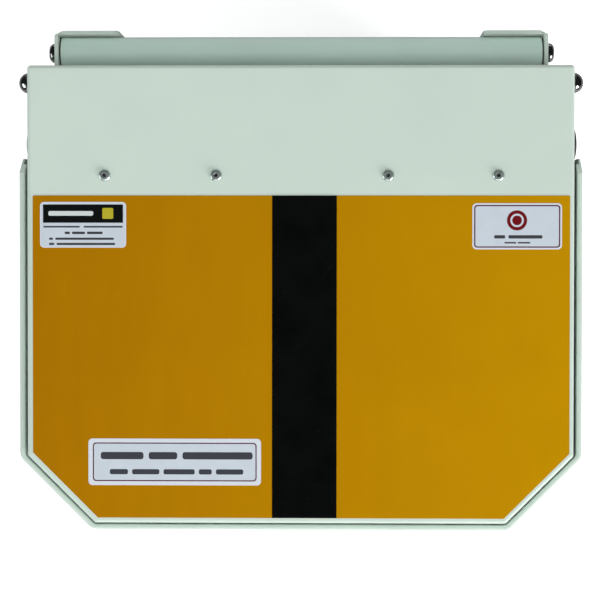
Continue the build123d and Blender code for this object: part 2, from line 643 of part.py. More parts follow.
with BuildPart() as base_tray:
    with BuildSketch(Plane.XY.offset(PLINTH_BOTTOM)):
        faced_plan(PLINTH_HALF_W, PLINTH_REAR, PLINTH_FRONT, COVER_CHAMFER)
    extrude(amount=PLINTH_TOP - PLINTH_BOTTOM)
    front_corners = base_tray.edges().filter_by(Axis.Z).sort_by(Axis.Y)[:4]
    fillet(front_corners, COVER_CORNER_R - SHEET)
    fillet(base_tray.faces().sort_by(Axis.Z)[-1].edges(), BEND_R)
    offset(amount=-SHEET, openings=base_tray.faces().sort_by(Axis.Z)[0])
    with BuildSketch(Plane.XY.offset(PLINTH_BOTTOM)):
        faced_plan(PLINTH_HALF_W - SHEET / 2, PLINTH_REAR + SHEET / 2,
                   PLINTH_FRONT - SHEET / 2, COVER_CHAMFER)
        fillet(vertices().sort_by(Axis.Y)[:4], COVER_CORNER_R - SHEET)
        with BuildSketch(mode=Mode.SUBTRACT):
            faced_plan(PLINTH_HALF_W - PLINTH_FLANGE, PLINTH_REAR + PLINTH_FLANGE,
                       PLINTH_FRONT - PLINTH_FLANGE, COVER_CHAMFER - 20)
    extrude(amount=SHEET)
    # Opening for the pedal lever, through the front wall and both bottom flanges.
    block(-PLINTH_NOTCH, PLINTH_NOTCH, PLINTH_FRONT - 10, PLINTH_FRONT + 1,
          PLINTH_BOTTOM - 1, PLINTH_NOTCH_TOP, Mode.SUBTRACT)
    block(-PLINTH_NOTCH, PLINTH_NOTCH, PLINTH_REAR + SHEET, PLINTH_FRONT + 1,
          PLINTH_BOTTOM - 1, PLINTH_BOTTOM + SHEET + 0.1, Mode.SUBTRACT)
    # Holes: lift rod guide, pedal bracket bolts, pedal stops, foot studs, panel screws.
    with Locations((0, ahead(PIN_AHEAD), PLINTH_TOP)):
        Cylinder(LOWER_GUIDE_R + FIT, 10, mode=Mode.SUBTRACT)
    with Locations(*[(x, y, PLINTH_TOP) for x, y in BRACKET_BOLTS]):
        Cylinder(BRACKET_BOLT_R + FIT, 10, mode=Mode.SUBTRACT)
    with Locations(*[(0, y, PLINTH_TOP) for y in STOP_YS]):
        Cylinder(STOP_NECK_R + FIT, 10, mode=Mode.SUBTRACT)
    with Locations(*[(x, y, PLINTH_BOTTOM) for x, y in FOOT_SPOTS]):
        Cylinder(FOOT_STUD_R + FIT, 10, mode=Mode.SUBTRACT)
    drill_y(PLINTH_RIVET_SPOTS, PLINTH_REAR, RIVET_HOLE_R)
save(base_tray, "base_tray")

FOOT_BASE_R = 0.8 * FOOT_R

with BuildPart() as foot:
    with BuildSketch(Plane.XZ):
        with BuildLine():
            Polyline((0, FOOT_STUD_TOP), (0, 0), (FOOT_BASE_R - 1, 0), (FOOT_BASE_R, 1))
            Polyline((FOOT_BASE_R, 1), (FOOT_R, PLINTH_BOTTOM), (FOOT_STUD_R, PLINTH_BOTTOM))
            Polyline((FOOT_STUD_R, PLINTH_BOTTOM), (FOOT_STUD_R, FOOT_STUD_TOP), (0, FOOT_STUD_TOP))
        make_face()
    revolve(axis=Axis.Z)
with BuildPart() as front_feet:
    with Locations(*FOOT_SPOTS):
        add(foot.part)
save(front_feet, "front_feet")

m6_nut = hex_nut(5.8, 5.0, BOLT_R + FIT)
with BuildPart() as m6_nuts:
    with Locations(*[rear_plane(x, PANEL_REAR - PLATE, z) for x, z in POST_BOLT_SPOTS]):
        add(m6_nut)
    with Locations(*[(x, y, PLINTH_BOTTOM + SHEET) for x, y in FOOT_SPOTS]):
        add(m6_nut)
save(m6_nuts, "m6_nuts")

# ---------------------------------------------------------------- removable cover
with BuildPart() as body_cover:
    with BuildSketch(Plane.XY.offset(COVER_BOTTOM)):
        faced_plan(COVER_HALF_W, COVER_REAR, COVER_FRONT, COVER_CHAMFER)
        fillet(vertices().sort_by(Axis.Y)[:4], COVER_CORNER_R)
        with BuildSketch(mode=Mode.SUBTRACT):
            faced_plan(COVER_HALF_W - SHEET, COVER_REAR - 10, COVER_FRONT - SHEET,
                       COVER_CHAMFER - SHEET * (2 - 2 ** 0.5))
            fillet(vertices().sort_by(Axis.Y)[:4], COVER_CORNER_R - SHEET)
    extrude(amount=COVER_TOP - COVER_BOTTOM)
    # Thick rolled hem round the top edge.
    with BuildSketch(Plane.XY.offset(COVER_TOP - HEM_H)):
        faced_plan(COVER_HALF_W, COVER_REAR, COVER_FRONT, COVER_CHAMFER)
        fillet(vertices().sort_by(Axis.Y)[:4], COVER_CORNER_R)
        with BuildSketch(mode=Mode.SUBTRACT):
            faced_plan(COVER_HALF_W - HEM_W, COVER_REAR - 10, COVER_FRONT - HEM_W,
                       COVER_CHAMFER - HEM_W * (2 - 2 ** 0.5))
            fillet(vertices().sort_by(Axis.Y)[:4], COVER_CORNER_R - HEM_W)
    extrude(amount=HEM_H)
    # Flange turned in along the foot.
    with BuildSketch(Plane.XY.offset(COVER_BOTTOM)):
        faced_plan(COVER_HALF_W - SHEET / 2, COVER_REAR + 15, COVER_FRONT - SHEET / 2, COVER_CHAMFER)
        fillet(vertices().sort_by(Axis.Y)[:4], COVER_CORNER_R - SHEET)
        with BuildSketch(mode=Mode.SUBTRACT):
            faced_plan(COVER_HALF_W - COVER_FOOT_FLANGE, COVER_REAR - 1, COVER_FRONT - COVER_FOOT_FLANGE,
                       COVER_CHAMFER - COVER_FOOT_FLANGE * (2 - 2 ** 0.5))
    extrude(amount=SHEET)
    rim_edges = body_cover.faces().sort_by(Axis.Z)[-1].outer_wire().edges()
    fillet(rim_edges, HEM_W / 2 - 0.1)
    # Sloped top corners at the open rear, cut a little past both ends of the slope.
    slope_past = 1.2
    with BuildSketch(side_plane(-COVER_HALF_W - OVERRUN)):
        rear_y = ahead(COVER_REAR) + (slope_past - 1) * COVER_SLOPE_RUN
        top_z = COVER_TOP + (slope_past - 1) * COVER_SLOPE_DROP
        Polygon(
            (rear_y, top_z),
            (ahead(COVER_REAR + slope_past * COVER_SLOPE_RUN), top_z),
            (rear_y, COVER_TOP - slope_past * COVER_SLOPE_DROP),
            align=None,
        )
    extrude(amount=2 * (COVER_HALF_W + OVERRUN), mode=Mode.SUBTRACT)
save(body_cover, "body_cover")

# Ball studs on the cover push back into spring clips on the panel's cheeks.
STUD_X = 204.5
STUD_R = 2.0
BALL_R = 3.5
BALL_AHEAD = CATCH_AHEAD
CATCH_IN = STUD_X - 5.5
CATCH_HALF_D = 8.0
CATCH_HALF_H = 16.0
SLIT_HALF_W = 0.6
STRIKER_REAR = 74.0         # ahead
STRIKER_FRONT = 92.0        # ahead
STRIKER_HALF_H = 12.0
with BuildPart() as cover_strikers:
    for side in (-1, 1):
        wall = side * (COVER_HALF_W - SHEET)
        block(side * (STUD_X - 2 * STUD_R), wall, STRIKER_REAR, STRIKER_REAR + SHEET,
              CATCH_Z - STRIKER_HALF_H, CATCH_Z + STRIKER_HALF_H)
        block(wall - side * SHEET, wall, STRIKER_REAR, STRIKER_FRONT,
              CATCH_Z - STRIKER_HALF_H, CATCH_Z + STRIKER_HALF_H)
        with Locations((side * STUD_X, ahead((BALL_AHEAD + STRIKER_REAR) / 2), CATCH_Z)):
            Cylinder(STUD_R, STRIKER_REAR - BALL_AHEAD, rotation=(90, 0, 0))
        with Locations((side * STUD_X, ahead(BALL_AHEAD), CATCH_Z)):
            Sphere(BALL_R)
save(cover_strikers, "cover_strikers")

with BuildPart() as cover_catches:
    for side in (-1, 1):
        block(side * CATCH_IN, side * (PANEL_HALF_W - SHEET), CATCH_AHEAD - CATCH_HALF_D,
              CATCH_AHEAD + CATCH_HALF_D, CATCH_Z - CATCH_HALF_H, CATCH_Z + CATCH_HALF_H)
        # Socket for the ball, open to the front, and a slit that lets the clip spring open.
        with Locations((side * STUD_X, ahead(CATCH_AHEAD + 2), CATCH_Z)):
            Cylinder(BALL_R + GAP, 14, rotation=(90, 0, 0), mode=Mode.SUBTRACT)
        block(side * STUD_X - SLIT_HALF_W, side * STUD_X + SLIT_HALF_W,
              CATCH_AHEAD - CATCH_HALF_D / 2, CATCH_AHEAD + CATCH_HALF_D + OVERRUN,
              CATCH_Z - CATCH_HALF_H / 2, CATCH_Z + CATCH_HALF_H / 2, Mode.SUBTRACT)
        with Locations(*[(side * PANEL_HALF_W, ahead(CATCH_AHEAD), z) for z in CATCH_RIVET_ZS]):
            Cylinder(RIVET_HOLE_R, DEEP, rotation=(0, 90, 0), mode=Mode.SUBTRACT)
save(cover_catches, "cover_catches")

# ---------------------------------------------------------------- sack hoop
BAND_T = 1.2
BAND_LOW = 786.6
BAND_HIGH = 797.0


def hoop_points(grow):
    """Corner points of the hoop's centre line, grown outwards by grow."""
    half_w = HOOP_HALF_W + grow
    rear = ahead(HOOP_REAR - grow)
    front = ahead(HOOP_FRONT + grow)
    leg = HOOP_CHAMFER + grow * (2 - 2 ** 0.5)
    return [
        (-half_w, rear), (-half_w, front + leg), (-half_w + leg, front),
        (half_w - leg, front), (half_w, front + leg), (half_w, rear),
    ]


with BuildSketch(Plane.XY.offset(HOOP_Z)) as hoop_plan:
    Polygon(*hoop_points(0), align=None)
    fillet(vertices(), HOOP_BEND_R)
hoop_path = hoop_plan.sketch.face().outer_wire()

with BuildPart() as sack_hoop:
    with BuildSketch(Plane(origin=hoop_path @ 0, z_dir=hoop_path % 0)):
        Circle(HOOP_R)
    sweep(path=hoop_path)
save(sack_hoop, "sack_hoop")

with BuildPart() as sack_band:
    with BuildSketch(Plane.XY.offset(BAND_LOW)):
        Polygon(*hoop_points(HOOP_R + GAP + BAND_T), align=None)
        fillet(vertices(), HOOP_BEND_R + HOOP_R + GAP + BAND_T)
        with BuildSketch(mode=Mode.SUBTRACT):
            Polygon(*hoop_points(HOOP_R + GAP), align=None)
            fillet(vertices(), HOOP_BEND_R + HOOP_R + GAP)
    extrude(amount=BAND_HIGH - BAND_LOW)
save(sack_band, "sack_band")

HOOP_LEG_TOP = HOOP_Z - HOOP_R
with BuildPart() as hoop_brackets:
    for side in (-1, 1):
        with BuildSketch(side_plane(side * HOOP_BRACKET_X - HOOP_BRACKET_HALF_W)):
            with BuildLine():
                Polyline(
                    (ahead(PANEL_FRONT), HOOP_BRACKET_LOW),
                    (ahead(PANEL_FRONT), HOOP_LEG_TOP),
                    (ahead(HOOP_REAR + HOOP_R), HOOP_LEG_TOP),
                    (ahead(HOOP_REAR + HOOP_R), HOOP_LEG_TOP - PLATE),
                    (ahead(PANEL_FRONT + PLATE), HOOP_LEG_TOP - PLATE),
                    (ahead(PANEL_FRONT + PLATE), HOOP_BRACKET_LOW),
                    close=True,
                )
            make_face()
        extrude(amount=2 * HOOP_BRACKET_HALF_W)
    drill_y(HOOP_RIVET_SPOTS, PANEL_FRONT, RIVET_HOLE_R)
save(hoop_brackets, "hoop_brackets")

# ---------------------------------------------------------------- lift rod duct, guides and damper
DUCT_BOTTOM = PLINTH_TOP + 0.2
DUCT_FACE = PANEL_FRONT + DUCT_DEPTH

with BuildPart() as rod_duct:
    with BuildSketch(Plane.XY.offset(DUCT_BOTTOM)):
        with BuildLine():
            Polyline(
                (-DUCT_HALF_W - DUCT_FLANGE, ahead(PANEL_FRONT)),
                (-DUCT_HALF_W - DUCT_FLANGE, ahead(PANEL_FRONT + SHEET)),
                (-DUCT_HALF_W, ahead(PANEL_FRONT + SHEET)),
                (-DUCT_HALF_W, ahead(DUCT_FACE)),
                (DUCT_HALF_W, ahead(DUCT_FACE)),
                (DUCT_HALF_W, ahead(PANEL_FRONT + SHEET)),
                (DUCT_HALF_W + DUCT_FLANGE, ahead(PANEL_FRONT + SHEET)),
                (DUCT_HALF_W + DUCT_FLANGE, ahead(PANEL_FRONT)),
                close=True,
            )
        make_face()
        fillet(vertices().sort_by(Axis.Y)[:2], BEND_R)
    extrude(amount=DUCT_TOP - DUCT_BOTTOM)
    with BuildSketch(Plane.XY.offset(DUCT_BOTTOM - 1)):
        with Locations((0, ahead((PANEL_FRONT + DUCT_FACE - SHEET) / 2 - 1))):
            Rectangle(2 * (DUCT_HALF_W - SHEET), DUCT_DEPTH - SHEET + 2)
        fillet(vertices().sort_by(Axis.Y)[:2], BEND_R - SHEET)
    extrude(amount=DUCT_TOP, mode=Mode.SUBTRACT)
    drill_y(DUCT_RIVET_SPOTS, PANEL_FRONT, RIVET_HOLE_R)
save(rod_duct, "rod_duct")


def panel_rivet(grip):
    """Blind rivet for sheet of that total thickness."""
    return pop_rivet(3.6, 1.2, RIVET_SMALL_R, grip, 2.8, 2.6, 1.0)


# Rivets through the back panel: plinth and duct (two sheets), hoop brackets (sheet and plate), catches.
thin_rivet = panel_rivet(2 * SHEET)
thick_rivet = panel_rivet(SHEET + PLATE)
catch_rivet = panel_rivet(PANEL_HALF_W - CATCH_IN)
with BuildPart() as panel_rivets:
    with Locations(*[rear_plane(x, PANEL_REAR, z) for x, z in PLINTH_RIVET_SPOTS + DUCT_RIVET_SPOTS]):
        add(thin_rivet)
    with Locations(*[rear_plane(x, PANEL_REAR, z) for x, z in HOOP_RIVET_SPOTS]):
        add(thick_rivet)
    with Locations(*[out_plane(side, PANEL_HALF_W, CATCH_AHEAD, z) for side, z in CATCH_RIVET_SPOTS]):
        add(catch_rivet)
save(panel_rivets, "panel_rivets")

GUIDE_HALF_W = DUCT_HALF_W - SHEET - GAP
with BuildPart() as upper_rod_guide:
    block(-GUIDE_HALF_W, GUIDE_HALF_W, PANEL_FRONT, DUCT_FACE - SHEET - GAP, DUCT_TOP - 18, DUCT_TOP)
    fillet(upper_rod_guide.edges().filter_by(Axis.Z), 2)
    with Locations((0, ahead(PIN_AHEAD), DUCT_TOP)):
        Cylinder(ROD_R + RUN, 60, mode=Mode.SUBTRACT)
    drill_y(GUIDE_SCREW_SPOTS, PANEL_FRONT, RIVET_HOLE_R, 24)
save(upper_rod_guide, "upper_rod_guide")

with BuildPart() as lower_rod_guide:
    with Locations((0, ahead(PIN_AHEAD), PLINTH_TOP)):
        Cylinder(11, 2.5, align=(Align.CENTER, Align.CENTER, Align.MIN))
        Cylinder(LOWER_GUIDE_R, 6, align=(Align.CENTER, Align.CENTER, Align.MAX))
        Cylinder(ROD_R + RUN, 30, mode=Mode.SUBTRACT)
save(lower_rod_guide, "lower_rod_guide")

DAMPER_LOW = 520.0
DAMPER_HIGH = 660.0
DAMPER_BORE_R = 7.0
PISTON_Z = 530.0
with BuildPart() as damper_cylinder:
    with BuildSketch(Plane(origin=(DAMPER_X, ahead(PIN_AHEAD), 0), x_dir=(1, 0, 0), z_dir=(0, -1, 0))):
        with BuildLine():
            Polyline(
                (0, DAMPER_LOW), (DAMPER_R - 1, DAMPER_LOW), (DAMPER_R, DAMPER_LOW + 1),
                (DAMPER_R, DAMPER_HIGH - 1), (DAMPER_R - 1, DAMPER_HIGH),
                (PISTON_ROD_R + RUN, DAMPER_HIGH), (PISTON_ROD_R + RUN, DAMPER_HIGH - 8),
                (DAMPER_BORE_R, DAMPER_HIGH - 8), (DAMPER_BORE_R, DAMPER_LOW + 4), (0, DAMPER_LOW + 4),
                close=True,
            )
        make_face()
    revolve(axis=Axis(origin=(DAMPER_X, ahead(PIN_AHEAD), 0), direction=(0, 0, 1)))
save(damper_cylinder, "damper_cylinder")

with BuildPart() as damper_piston:
    with Locations((DAMPER_X, ahead(PIN_AHEAD), PISTON_Z)):
        Cylinder(PISTON_ROD_R, LINK_Z + 8 - PISTON_Z, align=(Align.CENTER, Align.CENTER, Align.MIN))
        Cylinder(DAMPER_BORE_R - RUN, 8, align=(Align.CENTER, Align.CENTER, Align.MIN))
save(damper_piston, "damper_piston")

with BuildPart() as damper_clamp:
    block(DAMPER_X - DAMPER_R - 2, DAMPER_X + DAMPER_R + 2, PANEL_FRONT, PIN_AHEAD + DAMPER_R + 2.5,
          CLAMP_Z - 11, CLAMP_Z + 11)
    fillet(damper_clamp.edges().filter_by(Axis.Z).sort_by(Axis.Y)[:2], 6)
    with Locations((DAMPER_X, ahead(PIN_AHEAD), CLAMP_Z)):
        Cylinder(DAMPER_R + FIT, 40, mode=Mode.SUBTRACT)
    drill_y(CLAMP_SCREW_SPOTS, PANEL_FRONT, RIVET_HOLE_R, 24)
save(damper_clamp, "damper_clamp")

# Short screws from behind the panel hold the damper's clamp and the upper guide.
m4_screw = button_screw(3.8, 2.2, RIVET_SMALL_R, 7.0, 1.5)
with BuildPart() as guide_screws:
    with Locations(*[rear_plane(x, PANEL_REAR, z) for x, z in PANEL_SCREW_SPOTS]):
        add(m4_screw)
save(guide_screws, "guide_screws")

# ---------------------------------------------------------------- lift rod
HEAD_HALF_W = LUG_IN - 0.5
FOOT_HALF_W = 12.0

with BuildPart() as lift_rod:
    with Locations((0, ahead(PIN_AHEAD), FOOT_PIN_Z + 5)):
        Cylinder(ROD_R, TOP_PIN_Z - FOOT_PIN_Z - 10, align=(Align.CENTER, Align.CENTER, Align.MIN))
save(lift_rod, "lift_rod")


def rod_end(half_w, pin_z, low, high, rod_low, label):
    """Block on an end of the lift rod with a cross hole for its pin."""
    with BuildPart() as made:
        block(-half_w, half_w, PIN_AHEAD - 6.5, PIN_AHEAD + 6.5, low, high)
        fillet(made.edges().filter_by(Axis.X), 4)
        with BuildSketch(side_plane(-half_w - 1)):
            with Locations((ahead(PIN_AHEAD), pin_z)):
                Circle(PIN_R + FIT)
        extrude(amount=2 * half_w + 2, mode=Mode.SUBTRACT)
        with Locations((0, ahead(PIN_AHEAD), rod_low)):
            Cylinder(ROD_R + FIT, 30, align=(Align.CENTER, Align.CENTER, Align.MIN), mode=Mode.SUBTRACT)
    save(made, label)


rod_end(HEAD_HALF_W, TOP_PIN_Z, TOP_PIN_Z - 14, TOP_PIN_Z + 6.5, TOP_PIN_Z - 35, "rod_head")
rod_end(FOOT_HALF_W, FOOT_PIN_Z, FOOT_PIN_Z - 6.5, FOOT_PIN_Z + 14, FOOT_PIN_Z + 5, "rod_foot")

LEVER_HALF_W = 17.0
with BuildPart() as rod_pins:
    for half_l, z in ((LUG_IN + LUG_T + 4.5, TOP_PIN_Z), (LEVER_HALF_W + 4.5, FOOT_PIN_Z)):
        with BuildSketch(side_plane(-half_l)):
            with Locations((ahead(PIN_AHEAD), z)):
                Circle(PIN_R)
        extrude(amount=2 * half_l)
    chamfer(rod_pins.edges().filter_by(GeomType.CIRCLE), 0.5)
save(rod_pins, "rod_pins")

pin_clip = ring(PIN_R + FIT, 6.0, 1.2, 0.3)
with BuildPart() as pin_clips:
    for side in (-1, 1):
        with Locations(
            out_plane(side, LUG_IN + LUG_T + 0.7, PIN_AHEAD, TOP_PIN_Z),
            out_plane(side, LEVER_HALF_W + 0.7, PIN_AHEAD, FOOT_PIN_Z),
        ):
            add(pin_clip)
save(pin_clips, "pin_clips")

with BuildPart() as damper_link:
    block(-9, DAMPER_X + 7, PIN_AHEAD - 7, PIN_AHEAD + 7, LINK_Z - 6, LINK_Z + 6)
    fillet(damper_link.edges().filter_by(Axis.Z), 5)
    with Locations((0, ahead(PIN_AHEAD), LINK_Z)):
        Cylinder(ROD_R + FIT, 30, mode=Mode.SUBTRACT)
    with Locations((DAMPER_X, ahead(PIN_AHEAD), LINK_Z)):
        Cylinder(PISTON_ROD_R + FIT, 30, mode=Mode.SUBTRACT)
save(damper_link, "damper_link")

# ---------------------------------------------------------------- pedal
LEVER_T = 2.0
LEVER_H = 10.0
LEVER_REAR = PEDAL_ARM + 12.0
LEVER_WEB_REAR = 144.0
LEVER_NOSE = 205.0
AXLE_LOBE_R = 12.0
PEDAL_AXLE_R = 5.0
PEDAL_BUSH_R = 7.0
PLATE_REAR = 154.0
PLATE_HALF_W = 65.0
PAD_T = 4.0
SLOT_MID_ARM = (PEDAL_ARM + PEDAL_ARM / cos(radians(PEDAL_TILT))) / 2
PLATE_RIVET_ARMS = (164.0, 192.0)
PLATE_RIVET_R = 2.5
PLATE_RIVET_HEAD_R = 4.8
# Plane through the lever's centre line, square to its cheeks, with its normal up.
LEVER_TOP_PLANE = Plane(
    origin=(0, ahead(FULCRUM_AHEAD), FULCRUM_Z),
    x_dir=(1, 0, 0),
    z_dir=(0, sin(radians(PEDAL_TILT)), cos(radians(PEDAL_TILT))),
)

with BuildPart() as pedal_lever:
    with BuildSketch(lever_plane(-LEVER_HALF_W)):
        with BuildLine():
            Polyline((-LEVER_NOSE, -LEVER_H), (-LEVER_NOSE, LEVER_H),
                     (LEVER_REAR, LEVER_H), (LEVER_REAR, -LEVER_H), close=True)
        make_face()
        fillet(vertices().sort_by(Axis.X)[-2:], 7)
        Circle(AXLE_LOBE_R)
    extrude(amount=2 * LEVER_HALF_W)
    # Hollow from below, and open on top at the rear where the lift rod comes down between the cheeks.
    with BuildSketch(lever_plane(-LEVER_HALF_W + LEVER_T)):
        with BuildLine():
            Polyline((-LEVER_NOSE - 5, -LEVER_H - 5), (-LEVER_NOSE - 5, LEVER_H - LEVER_T),
                     (LEVER_WEB_REAR, LEVER_H - LEVER_T), (LEVER_WEB_REAR, LEVER_H + 5),
                     (LEVER_REAR + 5, LEVER_H + 5), (LEVER_REAR + 5, -LEVER_H - 5), close=True)
        make_face()
    extrude(amount=2 * (LEVER_HALF_W - LEVER_T), mode=Mode.SUBTRACT)
    with BuildSketch(lever_plane(-LEVER_HALF_W - 1)):
        Circle(PEDAL_BUSH_R + FIT)
        with Locations((SLOT_MID_ARM, 0)):
            SlotOverall(2 * PIN_R + 3.4, 2 * PIN_R + 2 * 0.18)
    extrude(amount=2 * LEVER_HALF_W + 2, mode=Mode.SUBTRACT)
    with BuildSketch(LEVER_TOP_PLANE):
        with Locations(*[(0, -arm) for arm in PLATE_RIVET_ARMS]):
            Circle(PLATE_RIVET_R + FIT)
    extrude(amount=DEEP, mode=Mode.SUBTRACT)
save(pedal_lever, "pedal_lever")

with BuildPart() as pedal_plate:
    with BuildSketch(LEVER_TOP_PLANE.offset(LEVER_H)):
        with Locations((0, -(PLATE_REAR + PEDAL_NOSE) / 2)):
            RectangleRounded(2 * PLATE_HALF_W, PEDAL_NOSE - PLATE_REAR, 7)
    extrude(amount=PLATE)
    # Front edge turned down.
    with BuildSketch(LEVER_TOP_PLANE.offset(PEDAL_LIP_H)):
        with Locations((0, -PEDAL_NOSE + PLATE / 2)):
            Rectangle(2 * PLATE_HALF_W - 14, PLATE)
    extrude(amount=LEVER_H - PEDAL_LIP_H + PLATE / 2)
    with BuildSketch(LEVER_TOP_PLANE):
        with Locations(*[(0, -arm) for arm in PLATE_RIVET_ARMS]):
            Circle(PLATE_RIVET_R + FIT)
    extrude(amount=DEEP, mode=Mode.SUBTRACT)
save(pedal_plate, "pedal_plate")

PAD_TOP = LEVER_H + PLATE + PAD_T
with BuildPart() as pedal_pad:
    with BuildSketch(LEVER_TOP_PLANE.offset(LEVER_H + PLATE)):
        with Locations((0, -(PLATE_REAR + PEDAL_NOSE) / 2)):
            RectangleRounded(2 * PLATE_HALF_W - 4, PEDAL_NOSE - PLATE_REAR - 4, 6)
    extrude(amount=PAD_T)
    # Grip grooves across the pad.
    with BuildSketch(LEVER_TOP_PLANE.offset(PAD_TOP)):
        with Locations((0, -(PLATE_REAR + PEDAL_NOSE) / 2)):
            with GridLocations(0, 6.5, 1, 7):
                Rectangle(2 * PLATE_HALF_W - 16, 2.2)
    extrude(amount=-1.6, mode=Mode.SUBTRACT)
    with BuildSketch(LEVER_TOP_PLANE):
        with Locations(*[(0, -arm) for arm in PLATE_RIVET_ARMS]):
            Circle(PLATE_RIVET_HEAD_R + 2 * GAP)
    extrude(amount=DEEP, mode=Mode.SUBTRACT)
save(pedal_pad, "pedal_pad")

pedal_rivet = pop_rivet(PLATE_RIVET_HEAD_R, 2.4, PLATE_RIVET_R, PLATE + LEVER_T, 3.4, 3.5, 1.2)
with BuildPart() as pedal_rivets:
    with Locations(LEVER_TOP_PLANE.offset(LEVER_H + PLATE)):
        with Locations(*[(0, -arm) for arm in PLATE_RIVET_ARMS]):
            add(pedal_rivet)
save(pedal_rivets, "pedal_rivets")

with BuildPart() as pedal_bushes:
    for side in (-1, 1):
        with BuildSketch(out_plane(side, LEVER_HALF_W, FULCRUM_AHEAD, FULCRUM_Z)):
            Circle(9)
            Circle(PEDAL_AXLE_R + RUN, mode=Mode.SUBTRACT)
        extrude(amount=1.5)
        with BuildSketch(out_plane(side, LEVER_HALF_W - LEVER_T, FULCRUM_AHEAD, FULCRUM_Z)):
            Circle(PEDAL_BUSH_R)
            Circle(PEDAL_AXLE_R + RUN, mode=Mode.SUBTRACT)
        extrude(amount=LEVER_T)
save(pedal_bushes, "pedal_bushes")

# Fulcrum bracket under the plinth's top
EAR_IN = 22.0
EAR_OUT = EAR_IN + PLATE
BRACKET_TOP = PLINTH_TOP - SHEET
with BuildPart() as pedal_bracket:
    block(-EAR_OUT, EAR_OUT, FULCRUM_AHEAD - 26, FULCRUM_AHEAD + 26, BRACKET_TOP - PLATE, BRACKET_TOP)
    for x in (-EAR_OUT, EAR_IN):
        with BuildSketch(side_plane(x)):
            with BuildLine():
                Polyline(
                    (ahead(FULCRUM_AHEAD + 26), BRACKET_TOP),
                    (ahead(FULCRUM_AHEAD + 10), FULCRUM_Z - 4),
                    (ahead(FULCRUM_AHEAD - 10), FULCRUM_Z - 4),
                    (ahead(FULCRUM_AHEAD - 26), BRACKET_TOP),
                    close=True,
                )
            make_face()
            with Locations((ahead(FULCRUM_AHEAD), FULCRUM_Z)):
                Circle(11)
        extrude(amount=PLATE)
    with BuildSketch(side_plane(-EAR_OUT - 1)):
        with Locations((ahead(FULCRUM_AHEAD), FULCRUM_Z)):
            Circle(PEDAL_AXLE_R + FIT)
    extrude(amount=2 * EAR_OUT + 2, mode=Mode.SUBTRACT)
    with Locations(*[(x, y, PLINTH_TOP) for x, y in BRACKET_BOLTS]):
        Cylinder(BRACKET_BOLT_R + FIT, 16, mode=Mode.SUBTRACT)
save(pedal_bracket, "pedal_bracket")

m5_bolt = button_screw(4.6, 2.4, BRACKET_BOLT_R, SHEET + PLATE + 2.0, 1.7)
with BuildPart() as pedal_bracket_bolts:
    with Locations(*[(x, y, PLINTH_TOP) for x, y in BRACKET_BOLTS]):
        add(m5_bolt)
save(pedal_bracket_bolts, "pedal_bracket_bolts")

AXLE_HALF = EAR_OUT + 3.5
with BuildPart() as pedal_axle:
    with BuildSketch(side_plane(-AXLE_HALF)):
        with Locations((ahead(FULCRUM_AHEAD), FULCRUM_Z)):
            Circle(PEDAL_AXLE_R)
    extrude(amount=2 * AXLE_HALF)
save(pedal_axle, "pedal_axle")

pedal_cap = dome_cap(9.0, 8.2, 6.0, PEDAL_AXLE_R + FIT, 3.8)
with BuildPart() as pedal_axle_caps:
    with Locations(*[out_plane(side, EAR_OUT, FULCRUM_AHEAD, FULCRUM_Z) for side in (-1, 1)]):
        add(pedal_cap)
save(pedal_axle_caps, "pedal_axle_caps")

SPACER_IN = LEVER_HALF_W + 1.7
pedal_spacer = ring(PEDAL_AXLE_R + FIT, 9.0, EAR_IN - 0.2 - SPACER_IN, 0.4)
with BuildPart() as pedal_spacers:
    with Locations(*[out_plane(side, SPACER_IN, FULCRUM_AHEAD, FULCRUM_Z) for side in (-1, 1)]):
        add(pedal_spacer)
save(pedal_spacers, "pedal_spacers")

# Rubber stops for the lever's two end positions, plugged into the plinth's top
STOP_R = 8.0
STOP_LOW = (
    FULCRUM_Z
    + (STOP_AHEAD + STOP_R) * sin(radians(PEDAL_TILT))
    + LEVER_H / cos(radians(PEDAL_TILT))
    + GAP
)
with BuildPart() as stop:
    with BuildSketch(Plane.XZ):
        with BuildLine():
            Polyline(
                (0, PLINTH_TOP + 3.5), (0, STOP_LOW), (STOP_R - 1.5, STOP_LOW), (STOP_R, STOP_LOW + 1.5),
                (STOP_R, BRACKET_TOP), (STOP_NECK_R, BRACKET_TOP), (STOP_NECK_R, PLINTH_TOP),
                (4.0, PLINTH_TOP), (2.5, PLINTH_TOP + 3.5), close=True,
            )
        make_face()
    revolve(axis=Axis.Z)
with BuildPart() as pedal_stops:
    with Locations(*[(0, y) for y in STOP_YS]):
        add(stop.part)
save(pedal_stops, "pedal_stops")

# ---------------------------------------------------------------- wheels
WHEEL_AXLE_HALF = POST_OUT + 4.0
with BuildPart() as wheel_axle:
    with BuildSketch(side_plane(-WHEEL_AXLE_HALF)):
        with Locations((ahead(WHEEL_AHEAD), WHEEL_R)):
            Circle(AXLE_R)
    extrude(amount=2 * WHEEL_AXLE_HALF)
save(wheel_axle, "wheel_axle")

# The same push-on domed cap closes both ends of the hinge rod and of the wheel axle.
rod_cap = dome_cap(8.5, 7.8, 7.2, AXLE_R + FIT, 4.2)
with BuildPart() as rod_caps:
    for side in (-1, 1):
        with Locations(
            out_plane(side, CAP_SEAT, 0, HINGE_Z),
            out_plane(side, POST_OUT, WHEEL_AHEAD, WHEEL_R),
        ):
            add(rod_cap)
save(rod_caps, "rod_caps")

